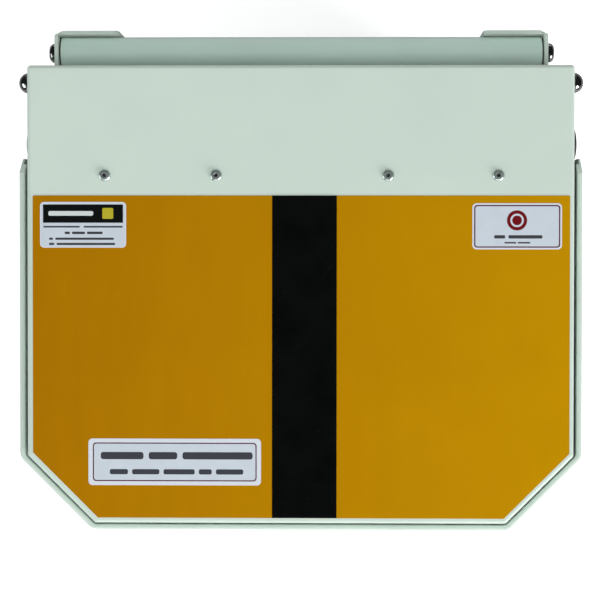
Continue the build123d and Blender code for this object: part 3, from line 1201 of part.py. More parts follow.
inner_collar = ring(AXLE_R + FIT, 8.0, 6.0, 0.6)
outer_washer = ring(AXLE_R + FIT, 8.0, POST_OUT - PLATE - WHEEL_OUT - 2 * GAP, 0.3)
with BuildPart() as wheel_spacers:
    for side in (-1, 1):
        with Locations(out_plane(side, WHEEL_IN - 6.0 - GAP, WHEEL_AHEAD, WHEEL_R)):
            add(inner_collar)
        with Locations(out_plane(side, WHEEL_OUT + GAP, WHEEL_AHEAD, WHEEL_R)):
            add(outer_washer)
save(wheel_spacers, "wheel_spacers")


def wheel(side, name):
    """Hub with a web and a rounded rubber tyre on it."""
    width = WHEEL_OUT - WHEEL_IN
    low = WHEEL_IN
    with BuildPart() as hub:
        with BuildSketch(out_plane(side, low, WHEEL_AHEAD, WHEEL_R)):
            Circle(HUB_R)
            Circle(AXLE_R + RUN, mode=Mode.SUBTRACT)
        extrude(amount=width)
        for face_x in (low, low + width - 8):
            with BuildSketch(out_plane(side, face_x, WHEEL_AHEAD, WHEEL_R)):
                Circle(HUB_R - 3)
                Circle(AXLE_R + 4, mode=Mode.SUBTRACT)
            extrude(amount=8, mode=Mode.SUBTRACT)
    save(hub, name + "_hub")
    with BuildPart() as tyre:
        with BuildSketch(out_plane(side, low + 0.5, WHEEL_AHEAD, WHEEL_R)):
            Circle(WHEEL_R)
            Circle(HUB_R, mode=Mode.SUBTRACT)
        extrude(amount=width - 1)
        fillet(tyre.edges().filter_by(GeomType.CIRCLE).group_by(SortBy.RADIUS)[-1], 4)
    save(tyre, name + "_tyre")


wheel(-1, "left_wheel")
wheel(1, "right_wheel")
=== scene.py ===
import json
import math

import bpy
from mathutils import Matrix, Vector


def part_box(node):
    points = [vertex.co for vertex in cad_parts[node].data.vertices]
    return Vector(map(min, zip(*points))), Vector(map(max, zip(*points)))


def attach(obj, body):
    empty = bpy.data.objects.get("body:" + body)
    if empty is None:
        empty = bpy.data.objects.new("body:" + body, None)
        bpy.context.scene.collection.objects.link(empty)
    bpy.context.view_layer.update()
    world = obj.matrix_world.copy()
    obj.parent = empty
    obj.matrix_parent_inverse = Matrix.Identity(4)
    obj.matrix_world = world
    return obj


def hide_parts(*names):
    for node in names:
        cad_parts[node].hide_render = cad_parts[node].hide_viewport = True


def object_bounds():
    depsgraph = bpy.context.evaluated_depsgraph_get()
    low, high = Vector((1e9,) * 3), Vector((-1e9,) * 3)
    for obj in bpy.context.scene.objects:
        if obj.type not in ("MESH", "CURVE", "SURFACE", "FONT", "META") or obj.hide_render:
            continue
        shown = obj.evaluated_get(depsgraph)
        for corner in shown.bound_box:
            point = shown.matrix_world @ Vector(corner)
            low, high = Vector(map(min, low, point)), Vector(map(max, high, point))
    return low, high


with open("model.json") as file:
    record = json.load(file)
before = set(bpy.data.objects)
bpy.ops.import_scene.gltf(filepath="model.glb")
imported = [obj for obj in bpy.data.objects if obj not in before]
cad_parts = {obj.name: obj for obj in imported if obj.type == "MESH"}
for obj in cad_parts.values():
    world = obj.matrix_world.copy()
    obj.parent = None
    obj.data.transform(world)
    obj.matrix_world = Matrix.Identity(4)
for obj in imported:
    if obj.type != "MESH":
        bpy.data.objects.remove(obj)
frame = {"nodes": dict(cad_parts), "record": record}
cad_low, cad_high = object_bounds()

MM = 0.001

# ---------------------------------------------------------------- colours, in linear light
WHITE_PAINT = (0.665, 0.764, 0.692)
GREY_PAINT = (0.650, 0.810, 0.735)
# painted light: the label's yellow as shaded at its left and lit at its right
YELLOW_SHADED_LEFT = (0.394, 0.163, 0.0)
YELLOW_LIT_RIGHT = (0.515, 0.257, 0.0)
BLACK_VINYL = (0.0022, 0.0026, 0.0026)
STICKER_FIELD = (0.572, 0.633, 0.697)
STICKER_BORDER = (0.660, 0.700, 0.755)
PRINT_BLACK = (0.004, 0.005, 0.005)
PRINT_GREY = (0.045, 0.050, 0.060)
PRINT_RED = (0.150, 0.0015, 0.004)
PRINT_PLUM = (0.085, 0.012, 0.040)
PRINT_YELLOW = (0.450, 0.400, 0.020)
PRINT_WHITE = (0.62, 0.66, 0.66)
ZINC = (0.58, 0.585, 0.565)
WIRE = (0.66, 0.665, 0.66)
CHROME = (0.34, 0.345, 0.335)
ALUMINIUM = (0.62, 0.72, 0.68)
BLACK_STEEL = (0.016, 0.017, 0.019)
BARE_STEEL = (0.30, 0.30, 0.29)
BLACK_NYLON = (0.014, 0.014, 0.015)
WHITE_NYLON = (0.74, 0.74, 0.70)
HUB_GREY = (0.24, 0.25, 0.25)
RUBBER = (0.014, 0.014, 0.0145)
TYRE = (0.050, 0.051, 0.053)
DUST = (0.23, 0.225, 0.21)
# painted shade for the insides of holes and sockets
RECESS_SHADE = (0.006, 0.006, 0.0055)
ELASTIC = (0.020, 0.021, 0.024)
FLOOR = (0.93, 0.93, 0.93)


def shade(color, factor):
    """The colour made lighter or darker by a factor."""
    return tuple(channel * factor for channel in color)


def opaque(color):
    """The colour with the alpha that a colour socket wants."""
    return (*color, 1.0)


class Look:
    """A procedural material: a Principled shader with short ways to wire nodes into it."""

    def __init__(self, name):
        self.material = bpy.data.materials.new(name)
        self.material.use_nodes = True
        self.tree = self.material.node_tree
        self.tree.nodes.clear()
        output = self.node("ShaderNodeOutputMaterial")
        self.shader = self.node("ShaderNodeBsdfPrincipled")
        self.tree.links.new(self.shader.outputs["BSDF"], output.inputs["Surface"])
        self.place = self.node("ShaderNodeTexCoord").outputs["Object"]

    def node(self, kind, **settings):
        made = self.tree.nodes.new(kind)
        for key, value in settings.items():
            setattr(made, key, value)
        return made

    def feed(self, socket, value):
        """Wires another node's output into a socket, or sets a plain value."""
        if isinstance(value, bpy.types.NodeSocket):
            self.tree.links.new(value, socket)
        elif socket.type == "RGBA":
            socket.default_value = opaque(value)
        else:
            socket.default_value = value

    def surface(self, **inputs):
        """Sets inputs of the Principled shader: base_color means Base Color."""
        for key, value in inputs.items():
            name = key.replace("_", " ").title().replace("Ior", "IOR")
            self.feed(self.shader.inputs[name], value)

    def math(self, operation, a, b=0.0):
        made = self.node("ShaderNodeMath", operation=operation)
        self.feed(made.inputs[0], a)
        self.feed(made.inputs[1], b)
        return made.outputs[0]

    def vector(self, operation, a, b=(0.0, 0.0, 0.0)):
        made = self.node("ShaderNodeVectorMath", operation=operation)
        self.feed(made.inputs[0], a)
        self.feed(made.inputs[1], b)
        return made.outputs["Value" if operation in ("LENGTH", "DOT_PRODUCT") else "Vector"]

    def spread(self, value, low, high, to_low=0.0, to_high=1.0):
        """Maps low..high to to_low..to_high, held at both ends."""
        made = self.node("ShaderNodeMapRange")
        for socket, given in zip(made.inputs, (value, low, high, to_low, to_high)):
            self.feed(socket, given)
        return made.outputs[0]

    def mix(self, share, a, b):
        """Colour a where share is 0 and b where it is 1."""
        made = self.node("ShaderNodeMix", data_type="RGBA")
        self.feed(made.inputs["Factor"], share)
        colours = [socket for socket in made.inputs if socket.type == "RGBA"]
        self.feed(colours[0], a)
        self.feed(colours[1], b)
        return next(socket for socket in made.outputs if socket.type == "RGBA")

    def noise(self, size, detail=2.0, stretch=(1.0, 1.0, 1.0), rough=0.5):
        """Noise whose features are about size across, longer along an axis whose stretch is above 1."""
        where = self.vector("DIVIDE", self.place, stretch)
        made = self.node("ShaderNodeTexNoise")
        self.feed(made.inputs["Vector"], where)
        self.feed(made.inputs["Scale"], 1.0 / size)
        self.feed(made.inputs["Detail"], detail)
        self.feed(made.inputs["Roughness"], rough)
        return made.outputs["Fac"]

    def cells(self, size, stretch=(1.0, 1.0, 1.0)):
        """A random level for each cell of about that size."""
        made = self.node("ShaderNodeTexVoronoi")
        self.feed(made.inputs["Vector"], self.vector("DIVIDE", self.place, stretch))
        self.feed(made.inputs["Scale"], 1.0 / size)
        return self.vector("DOT_PRODUCT", made.outputs["Color"], (0.33, 0.33, 0.34))

    def scratches(self, size, length, amount):
        """Sparse fine lines: 1 on a scratch, 0 elsewhere. amount is the share of lines kept."""
        thin = self.noise(size, 3.0, length)
        line = self.math("ABSOLUTE", self.math("SUBTRACT", thin, 0.5))
        kept = self.spread(self.noise(35 * size, 1.0), 1.0 - amount, 1.0 - amount + 0.06)
        return self.math("MULTIPLY", self.spread(line, 0.006, 0.0), kept)

    def edges(self, radius):
        """(mask that is 1 on outer and inner edges, normal rounded over that radius)."""
        bevel = self.node("ShaderNodeBevel", samples=4)
        self.feed(bevel.inputs["Radius"], radius)
        straight = self.node("ShaderNodeNewGeometry").outputs["True Normal"]
        match = self.vector("DOT_PRODUCT", bevel.outputs["Normal"], straight)
        return self.spread(match, 0.985, 0.80), bevel.outputs["Normal"]

    def recess(self, reach):
        """1 deep inside holes and sockets narrower than reach, 0 on open faces."""
        hidden = self.node("ShaderNodeAmbientOcclusion", samples=8)
        self.feed(hidden.inputs["Distance"], reach)
        return self.spread(hidden.outputs["AO"], 0.72, 0.42)

    def bump(self, height, depth, normal=None):
        """Normal of a relief whose full height is depth metres, on top of another normal if given."""
        made = self.node("ShaderNodeBump")
        self.feed(made.inputs["Strength"], 1.0)
        self.feed(made.inputs["Distance"], depth)
        self.feed(made.inputs["Height"], height)
        if normal is not None:
            self.feed(made.inputs["Normal"], normal)
        return made.outputs["Normal"]


# ---------------------------------------------------------------- materials
def powder_coat(name, color, peel):
    """Satin powder coat: orange peel, faint mottling, a painted highlight on the edges and scuffed low
    down.
    """
    look = Look(name)
    edge, rounded = look.edges(0.8 * MM)
    mottle = look.noise(60 * MM, 3.0)
    grain = look.noise(1.1 * MM, 1.0)
    tone = look.mix(look.spread(mottle, 0.3, 0.7), shade(color, 0.975), shade(color, 1.02))
    tone = look.mix(look.spread(grain, 0.35, 0.65, 0.0, 0.25), tone, shade(color, 0.955))
    # painted highlight: the colour is lightened along edges and bends
    tone = look.mix(look.math("MULTIPLY", edge, 0.35), tone, shade(color, 1.16))
    height = look.node("ShaderNodeSeparateXYZ")
    look.feed(height.inputs[0], look.place)
    low_down = look.spread(height.outputs["Z"], 0.16, 0.03)
    scuff = look.scratches(0.9 * MM, (14.0, 14.0, 1.0), 0.42)
    tone = look.mix(look.math("MULTIPLY", scuff, low_down), tone, shade(color, 0.62))
    look.surface(base_color=tone, diffuse_roughness=0.9)
    look.surface(roughness=look.spread(mottle, 0.3, 0.7, 0.36, 0.46))
    relief = look.bump(look.noise(peel, 2.0), 0.022 * MM, rounded)
    look.surface(normal=look.bump(look.noise(0.35 * MM, 1.0), 0.004 * MM, relief))
    return look.material


def white_paint():
    return powder_coat("white_powder_coat", WHITE_PAINT, 3.2 * MM)


def grey_paint():
    return powder_coat("grey_powder_coat", GREY_PAINT, 2.4 * MM)


def plated(name, color, rough_low, rough_high, grain_size, stretch, edge_radius, spangle=0.0, metal=1.0):
    """Bare or plated metal: grain, patchy gloss, spangle if asked, painted highlights on the edges and
    painted shade in recesses.
    """
    look = Look(name)
    edge, rounded = look.edges(edge_radius)
    grain = look.noise(grain_size, 3.0, stretch)
    patch = look.noise(14 * MM, 3.0)
    tone = look.mix(look.spread(patch, 0.3, 0.7), shade(color, 0.90), shade(color, 1.05))
    if spangle:
        flakes = look.cells(5 * MM)
        tone = look.mix(look.math("MULTIPLY", flakes, spangle), tone, shade(color, 0.72))
    # painted highlight: the colour is lightened along edges
    tone = look.mix(look.math("MULTIPLY", edge, 0.4), tone, shade(color, 1.25))
    # painted shade: holes and sockets darkened towards near black by ambient occlusion
    tone = look.mix(look.recess(2.5 * MM), tone, RECESS_SHADE)
    look.surface(base_color=tone, metallic=metal)
    look.surface(roughness=look.spread(patch, 0.3, 0.7, rough_low, rough_high))
    look.surface(normal=look.bump(grain, 0.006 * MM, rounded))
    return look.material


def zinc_steel():
    return plated("zinc_plated_steel", ZINC, 0.30, 0.46, 0.8 * MM, (1.0, 1.0, 6.0), 0.5 * MM, 0.55)


def bright_wire():
    return plated("bright_drawn_wire", WIRE, 0.18, 0.30, 0.5 * MM, (20.0, 20.0, 1.0), 0.3 * MM)


def chrome():
    return plated("chrome_plate", CHROME, 0.05, 0.12, 0.6 * MM, (1.0, 1.0, 1.0), 0.2 * MM)


def rivet_alu():
    even = (1.0, 1.0, 1.0)
    return plated("mill_finish_aluminium", ALUMINIUM, 0.24, 0.38, 0.4 * MM, even, 0.3 * MM, metal=0.8)


def black_steel():
    """Black painted steel, rubbed through to bare metal along its edges."""
    look = Look("black_painted_steel")
    edge, rounded = look.edges(0.9 * MM)
    patch = look.noise(9 * MM, 4.0)
    worn = look.math("MULTIPLY", edge, look.spread(patch, 0.45, 0.62))
    rubbed = look.scratches(0.7 * MM, (9.0, 2.0, 9.0), 0.5)
    tone = look.mix(look.spread(patch, 0.3, 0.7), shade(BLACK_STEEL, 0.8), shade(BLACK_STEEL, 1.5))
    tone = look.mix(look.math("MULTIPLY", rubbed, 0.35), tone, shade(BARE_STEEL, 0.5))
    look.surface(base_color=look.mix(worn, tone, BARE_STEEL), metallic=look.math("MULTIPLY", worn, 0.85))
    look.surface(roughness=look.spread(patch, 0.3, 0.7, 0.34, 0.52))
    look.surface(normal=look.bump(look.noise(2.2 * MM, 2.0), 0.02 * MM, rounded))
    return look.material


def yellow_vinyl():
    """Gloss vinyl sheet: painted light rising to the right, faint roller streaks, fine scratches and air
    marks.
    """
    look = Look("yellow_vinyl_sheet")
    low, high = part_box("lid_label")
    across = look.node("ShaderNodeSeparateXYZ")
    look.feed(across.inputs[0], look.place)
    share = look.spread(across.outputs["X"], low.x, high.x)
    # painted light: the yellow brightens from left to right as if lit from the right
    tone = look.mix(share, YELLOW_SHADED_LEFT, YELLOW_LIT_RIGHT)
    streak = look.noise(16 * MM, 2.0, (1.0, 7.0, 1.0))
    patch = look.noise(45 * MM, 3.0)
    tone = look.mix(look.spread(streak, 0.35, 0.7, 0.0, 0.06), tone, shade(YELLOW_LIT_RIGHT, 1.25))
    tone = look.mix(look.spread(patch, 0.35, 0.75, 0.0, 0.10), tone, shade(YELLOW_SHADED_LEFT, 0.8))
    scratch = look.scratches(0.8 * MM, (3.0, 22.0, 3.0), 0.40)
    tone = look.mix(look.math("MULTIPLY", scratch, 0.22), tone, shade(YELLOW_LIT_RIGHT, 1.5))
    look.surface(base_color=tone, specular_ior_level=0.02)
    look.surface(roughness=look.spread(streak, 0.3, 0.7, 0.24, 0.34))
    film = look.bump(look.noise(7 * MM, 2.0), 0.02 * MM)
    look.surface(normal=look.bump(look.math("SUBTRACT", 1.0, scratch), 0.006 * MM, film))
    return look.material


def black_vinyl():
    """Matt black tape with a fine press texture, a little dust and hairline scratches."""
    look = Look("black_vinyl_tape")
    patch = look.noise(25 * MM, 3.0)
    specks = look.spread(look.noise(1.4 * MM, 1.0), 0.72, 0.80)
    scratch = look.scratches(0.8 * MM, (3.0, 18.0, 3.0), 0.40)
    tone = look.mix(look.spread(patch, 0.3, 0.7), shade(BLACK_VINYL, 0.8), shade(BLACK_VINYL, 1.3))
    tone = look.mix(look.math("MULTIPLY", specks, 0.04), tone, DUST)
    tone = look.mix(look.math("MULTIPLY", scratch, 0.05), tone, DUST)
    look.surface(base_color=tone, specular_ior_level=0.03)
    look.surface(roughness=look.spread(patch, 0.3, 0.7, 0.30, 0.40))
    look.surface(normal=look.bump(look.noise(0.5 * MM, 2.0), 0.008 * MM))
    return look.material


def moulded(name, color, rough, texture_size, texture_depth, dust=0.0, scatter=0.0):
    """Moulded plastic or rubber: fine mould texture, rounded edges with a painted highlight, patchy gloss
    and dust on top faces.
    """
    look = Look(name)
    edge, rounded = look.edges(0.5 * MM)
    patch = look.noise(8 * MM, 3.0)
    tone = look.mix(look.spread(patch, 0.3, 0.7), shade(color, 0.86), shade(color, 1.12))
    # painted highlight: the colour is lightened along edges
    tone = look.mix(look.math("MULTIPLY", edge, 0.3), tone, shade(color, 1.5))
    if dust:
        facing = look.node("ShaderNodeSeparateXYZ")
        look.feed(facing.inputs[0], look.node("ShaderNodeNewGeometry").outputs["Normal"])
        settled = look.math("MULTIPLY", look.spread(facing.outputs["Z"], 0.3, 1.0), dust)
        tone = look.mix(look.math("MULTIPLY", settled, look.spread(patch, 0.4, 0.65)), tone, DUST)
    look.surface(base_color=tone, roughness=look.spread(patch, 0.3, 0.7, rough - 0.06, rough + 0.07))
    if scatter:
        look.surface(subsurface_weight=scatter, subsurface_scale=1.5 * MM)
    look.surface(normal=look.bump(look.noise(texture_size, 2.0), texture_depth, rounded))
    return look.material


def white_nylon():
    return moulded("white_nylon", WHITE_NYLON, 0.42, 0.7 * MM, 0.010 * MM, scatter=0.15)


def black_nylon():
    return moulded("black_nylon", BLACK_NYLON, 0.40, 0.6 * MM, 0.015 * MM)


def grey_hub():
    return moulded("grey_hub_plastic", HUB_GREY, 0.48, 0.6 * MM, 0.015 * MM)


def black_rubber():
    return moulded("black_rubber", RUBBER, 0.62, 0.5 * MM, 0.020 * MM, dust=0.30)


def wheel_rubber():
    return moulded("grey_tyre_rubber", TYRE, 0.66, 0.9 * MM, 0.030 * MM, dust=0.25)


def elastic():
    """Woven elastic: threads across the band, a soft sheen and lint."""
    look = Look("woven_elastic")
    weave = look.noise(0.5 * MM, 1.0, (1.0, 1.0, 5.0))
    lint = look.noise(6 * MM, 4.0)
    tone = look.mix(look.spread(weave, 0.35, 0.65), shade(ELASTIC, 0.6), shade(ELASTIC, 1.7))
    tone = look.mix(look.spread(lint, 0.55, 0.8, 0.0, 0.2), tone, DUST)
    look.surface(base_color=tone, roughness=0.85, sheen_weight=0.35)
    look.surface(normal=look.bump(weave, 0.12 * MM))
    return look.material


# ---------------------------------------------------------------- printed stickers
def rounded_mark(look, place_mm, left, top, width, height, corner):
    """1 inside a rounded rectangle, in millimetres from the sticker's left and rear edges."""
    centre = (left + width / 2, top + height / 2, 0.0)
    core = (width / 2 - corner, height / 2 - corner, 0.0)
    away = look.vector("ABSOLUTE", look.vector("SUBTRACT", place_mm, centre))
    outside = look.vector("MAXIMUM", look.vector("SUBTRACT", away, core), (0.0, 0.0, 0.0))
    return look.spread(look.vector("LENGTH", outside), corner + 0.04, corner - 0.04)


def row(left, top, height, widths, gap):
    """Bars of the given widths side by side, for a line of print."""
    marks = []
    for width in widths:
        marks.append((left, top, width, height, 0.35 * height))
        left += width + gap
    return marks


def printed(node, marks):
    """Gloss paper sticker with rounded marks, each ((left, top, width, height, corner), color)."""
    look = Look("printed_" + node)
    low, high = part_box(node)
    corner = (low.x, high.y, 0.0)
    place_mm = look.vector("MULTIPLY", look.vector("SUBTRACT", look.place, corner), (1 / MM, -1 / MM, 0.0))
    patch = look.noise(12 * MM, 3.0)
    field = look.mix(look.spread(patch, 0.3, 0.7), shade(STICKER_FIELD, 0.97), shade(STICKER_FIELD, 1.02))
    tone = STICKER_BORDER
    for mark, color in marks:
        inked = field if color is STICKER_FIELD else color
        tone = look.mix(rounded_mark(look, place_mm, *mark), tone, inked)
    look.surface(base_color=tone, specular_ior_level=0.15)
    look.surface(roughness=look.spread(patch, 0.3, 0.7, 0.28, 0.38))
    look.surface(normal=look.bump(look.noise(2.5 * MM, 2.0), 0.006 * MM))
    return look.material


def maker_sticker():
    """Dark band with a plain bar and a plain square, then four thin rows."""
    marks = [((0.8, 0.8, 64.7, 33.5, 2.6), STICKER_FIELD), ((2.3, 1.9, 61.6, 14.1, 0.1), PRINT_BLACK)]
    marks.append(((6.5, 7.0, 34.5, 3.6, 1.2), PRINT_WHITE))
    marks.append(((48.0, 4.6, 8.4, 8.4, 1.0), PRINT_YELLOW))
    rows = row(2.6, 18.4, 1.3, (28.0, 30.0), 3.0) + row(19.0, 22.8, 1.9, (4.0, 10.0, 12.0), 1.6)
    rows += row(7.0, 27.4, 1.7, (3.0, 45.0), 1.8) + row(7.0, 31.4, 1.7, (4.0, 45.0), 1.8)
    return printed("maker_sticker", marks + [(mark, PRINT_GREY) for mark in rows])


def safety_sticker():
    """Thin plum outline, a plain red disc with a pale ring, and two rows."""
    marks = [((1.3, 1.3, 65.8, 32.7, 2.4), PRINT_PLUM), ((2.3, 2.3, 63.8, 30.7, 1.7), STICKER_FIELD)]
    marks.append(((26.4, 5.4, 15.4, 15.4, 7.6), PRINT_RED))
    marks.append(((29.0, 8.0, 10.2, 10.2, 5.0), STICKER_FIELD))
    marks.append(((30.4, 9.4, 7.4, 7.4, 3.6), PRINT_RED))
    rows = row(16.6, 24.4, 2.6, (8.5, 26.0), 2.4) + row(24.5, 29.6, 1.2, (9.0, 9.5), 1.2)
    return printed("safety_sticker", marks + [(mark, PRINT_GREY) for mark in rows])


def guide_sticker():
    """Thin plum outline and two rows of plain bars."""
    marks = [((3.4, 3.1, 126.2, 29.8, 2.6), PRINT_PLUM), ((4.3, 4.0, 124.4, 28.0, 2.0), STICKER_FIELD)]
    rows = row(9.5, 10.4, 5.6, (33.0, 22.0, 54.0), 4.0)
    rows += row(16.5, 23.6, 4.0, (14.0, 21.0, 24.0, 10.0, 21.0), 3.2)
    return printed("guide_sticker", marks + [(mark, PRINT_GREY) for mark in rows])


STICKER_LOOKS = {
    "maker_sticker": maker_sticker,
    "safety_sticker": safety_sticker,
    "guide_sticker": guide_sticker,
}
SLOT_LOOKS = {
    "white_paint": white_paint,
    "grey_paint": grey_paint,
    "zinc_steel": zinc_steel,
    "bright_wire": bright_wire,
    "chrome": chrome,
    "rivet_alu": rivet_alu,
    "black_steel": black_steel,
    "yellow_vinyl": yellow_vinyl,
    "black_vinyl": black_vinyl,
    "white_nylon": white_nylon,
    "black_nylon": black_nylon,
    "grey_hub": grey_hub,
    "black_rubber": black_rubber,
    "wheel_rubber": wheel_rubber,
    "elastic": elastic,
}


def give(obj, material):
    """Puts one material in all of an object's slots."""
    if not obj.material_slots:
        obj.data.materials.append(material)
    for material_slot in obj.material_slots:
        material_slot.material = material


def dress_frame():
    """Every CAD node gets the material of its slot in the record, and each sticker its own print."""
    made = {}
    for subpart in frame["record"]["subparts"]:
        node = subpart["node"]
        slot = subpart["material_slot"]
        if node in STICKER_LOOKS:
            give(frame["nodes"][node], STICKER_LOOKS[node]())
            continue
        if slot not in made:
            made[slot] = SLOT_LOOKS[slot]()
        give(frame["nodes"][node], made[slot])
    return made


# ---------------------------------------------------------------- elastic sack band
HOOP_CHAMFER = 52.0 * MM     # leg of the band's front corners
BAND_BEND_R = 17.0 * MM
BAND_RIBS = 5
BAND_RIB_POINTS = 4          # points across one rib
BAND_STATION = 2.5 * MM      # spacing of sections along the band
BAND_WAVE = 0.35 * MM        # how far the band rides up and down
BAND_THICKNESS = 1.2 * MM


def rounded_path(corners, radius, spacing):
    """Closed outline through corners, each rounded by radius, as evenly spaced points."""
    outline = []
    count = len(corners)
    for i, corner in enumerate(corners):
        before = (corners[i - 1] - corner).normalized()
        after = (corners[(i + 1) % count] - corner).normalized()
        half_angle = before.angle(after) / 2
        reach = radius / math.tan(half_angle)
        start = corner + before * reach
        end = corner + after * reach
        centre = corner + (before + after).normalized() * (radius / math.sin(half_angle))
        turn = math.pi - 2 * half_angle
        steps = max(3, int(radius * turn / spacing))
        toward = (end - start).normalized()
        crown = (corner - centre).normalized()
        for step in range(steps + 1):
            angle = turn * (step / steps - 0.5)
            outline.append(centre + radius * (crown * math.cos(angle) + toward * math.sin(angle)))
    even = []
    for a, b in zip(outline, outline[1:] + outline[:1]):
        pieces = max(1, round((b - a).length / spacing))
        even += [a + (b - a) * (k / pieces) for k in range(pieces)]
    return even


def band_section(height, thickness):
    """(outwards, up) points round the band's section: ribbed on the outside, flat on the inside."""
    outside = []
    steps = BAND_RIBS * BAND_RIB_POINTS
    for step in range(steps + 1):
        up = height * (step / steps - 0.5)
        swell = abs(math.sin(math.pi * BAND_RIBS * step / steps))
        outside.append((thickness * (0.72 + 0.28 * swell), up))
    inside = [(0.0, height * share) for share in (0.5, 0.25, 0.0, -0.25, -0.5)]
    return outside + inside


def make_band():
    """Ribbed elastic band stretched round the sack hoop, in the space of its plain CAD solid."""
    low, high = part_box("sack_band")
    half_w = (high.x - low.x) / 2
    leg = HOOP_CHAMFER
    corners = [
        Vector((-half_w, high.y, 0)), Vector((-half_w, low.y + leg, 0)), Vector((-half_w + leg, low.y, 0)),
        Vector((half_w - leg, low.y, 0)), Vector((half_w, low.y + leg, 0)), Vector((half_w, high.y, 0)),
    ]
    path = rounded_path(corners, BAND_BEND_R, BAND_STATION)
    section = band_section(high.z - low.z - 2 * BAND_WAVE, BAND_THICKNESS)
    middle_z = (low.z + high.z) / 2
    count = len(path)
    points = []
    for i, point in enumerate(path):
        along = (path[(i + 1) % count] - path[i - 1]).normalized()
        outward = Vector((-along.y, along.x, 0.0))
        if outward.dot(point - Vector((0, (low.y + high.y) / 2, 0))) < 0:
            outward = -outward
        turn = 2 * math.pi * i / count
        lift = BAND_WAVE * (0.6 * math.sin(5 * turn + 0.4) + 0.4 * math.sin(11 * turn + 1.9))
        for out, up in section:
            place = point + outward * (out - BAND_THICKNESS)
            points.append((place.x, place.y, middle_z + lift + up))
    size = len(section)
    faces = []
    for i in range(count):
        for k in range(size):
            here = i * size
            there = ((i + 1) % count) * size
            faces.append((here + k, here + (k + 1) % size, there + (k + 1) % size, there + k))
    mesh = bpy.data.meshes.new("elastic_band")
    mesh.from_pydata(points, [], faces)
    mesh.update()
    mesh.shade_smooth()
    band = bpy.data.objects.new("elastic_band", mesh)
    bpy.context.scene.collection.objects.link(band)
    return band


# ---------------------------------------------------------------- stage
FLOOR_HALF = 6.0
FLOOR_GLOW = 0.60


def make_floor():
    """Large pale floor under the bin: it glows a little for the camera alone and lights the bin less."""
    mesh = bpy.data.meshes.new("floor")
    corners = [(-1, -1), (1, -1), (1, 1), (-1, 1)]
    mesh.from_pydata([(x * FLOOR_HALF, y * FLOOR_HALF, 0.0) for x, y in corners], [], [(0, 1, 2, 3)])
    floor = bpy.data.objects.new("floor", mesh)
    bpy.context.scene.collection.objects.link(floor)
    look = Look("pale_floor")
    cloud = look.noise(0.5, 2.0)
    tone = look.mix(look.spread(cloud, 0.3, 0.7), shade(FLOOR, 0.985), FLOOR)
    seen = look.node("ShaderNodeLightPath").outputs["Is Camera Ray"]
    look.surface(base_color=look.mix(seen, shade(FLOOR, 0.5), tone), roughness=0.8, specular_ior_level=0.1)
    look.surface(emission_color=(1.0, 1.0, 1.0), emission_strength=look.math("MULTIPLY", seen, FLOOR_GLOW))
    give(floor, look.material)


def softbox(name, place, target, width, height, power, color=(1.0, 1.0, 1.0), mirrored=True):
    """Rectangular area light aimed at a point; unless mirrored, shiny surfaces don't show it."""
    light = bpy.data.lights.new(name, "AREA")
    light.shape = "RECTANGLE"
    light.size = width
    light.size_y = height
    light.energy = power
    light.color = color
    lamp = bpy.data.objects.new(name, light)
    lamp.visible_glossy = mirrored
    lamp.location = place
    lamp.rotation_mode = "QUATERNION"
    lamp.rotation_quaternion = (Vector(target) - Vector(place)).to_track_quat("-Z", "Y")
    bpy.context.scene.collection.objects.link(lamp)


LIGHTS_AIM = 0.8             # share of the bin's height that the lights point at
SURROUND = (0.94, 0.97, 1.0)
SURROUND_LIGHT = 0.12
SURROUND_SEEN = 1.0          # pale beyond the floor's edge, and lights nothing
SURROUND_IN_METAL = 0.03     # the surround looks dark where bright metal reflects it


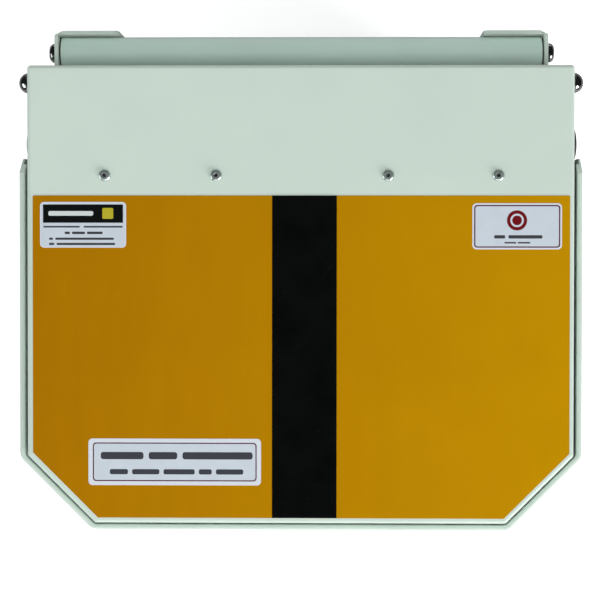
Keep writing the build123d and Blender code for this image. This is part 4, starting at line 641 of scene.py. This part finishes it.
def make_lights():
    """Soft light from both sides, the front, the rear and overhead, and a dim even surround."""
    target = (0.0, 0.0, cad_high.z * LIGHTS_AIM)
    softbox("right_front_softbox", (2.0, -1.9, 1.6), target, 1.6, 1.0, 72)
    softbox("left_softbox", (-2.4, -0.8, 1.6), target, 1.6, 1.0, 18, (0.90, 0.96, 1.0))
    softbox("front_softbox", (-0.2, -2.7, 1.9), target, 2.2, 1.2, 21)
    softbox("rear_softbox", (0.2, 2.6, 0.55), target, 2.2, 0.8, 5)
    softbox("overhead_softbox", (0.0, -0.1, 3.6), target, 2.6, 2.6, 50, mirrored=False)
    world = bpy.data.worlds.new("surround")
    world.use_nodes = True
    nodes = world.node_tree.nodes
    background = nodes["Background"]
    background.inputs["Color"].default_value = opaque(SURROUND)
    rays = nodes.new("ShaderNodeLightPath")
    dimmed = nodes.new("ShaderNodeMapRange")
    dimmed.inputs["To Min"].default_value = SURROUND_LIGHT
    dimmed.inputs["To Max"].default_value = SURROUND_IN_METAL
    world.node_tree.links.new(rays.outputs["Is Glossy Ray"], dimmed.inputs["Value"])
    seen = nodes.new("ShaderNodeMapRange")
    seen.inputs["To Max"].default_value = SURROUND_SEEN
    world.node_tree.links.new(rays.outputs["Is Camera Ray"], seen.inputs["Value"])
    world.node_tree.links.new(dimmed.outputs["Result"], seen.inputs["To Min"])
    world.node_tree.links.new(seen.outputs["Result"], background.inputs["Strength"])
    bpy.context.scene.world = world


CAMERA_ABOVE_LID = 1.5210    # height of the lens above the lid's top
CAMERA_SIDE = 0.0305         # to the right of the lid's middle
CAMERA_REAR = 0.0271         # behind the lid's middle
CAMERA_TURN = (-1.173, 1.149, 0.051)    # degrees from straight down, about X, Y and Z
SENSOR = 36.0
LENS = 119.00


def make_camera():
    """Camera almost straight above the lid, with the handle at the top of the picture."""
    low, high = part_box("lid_panel")
    data = bpy.data.cameras.new("camera")
    data.sensor_width = SENSOR
    data.lens = LENS
    camera = bpy.data.objects.new("camera", data)
    middle = (low + high) / 2
    camera.location = (middle.x + CAMERA_SIDE, middle.y + CAMERA_REAR, high.z + CAMERA_ABOVE_LID)
    camera.rotation_euler = [math.radians(angle) for angle in CAMERA_TURN]
    bpy.context.scene.collection.objects.link(camera)
    bpy.context.scene.camera = camera


bpy.context.scene.view_settings.view_transform = "Standard"
materials = dress_frame()
elastic_band = make_band()
give(elastic_band, materials["elastic"])
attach(elastic_band, "frame")
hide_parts("sack_band")
make_floor()
make_lights()
make_camera()
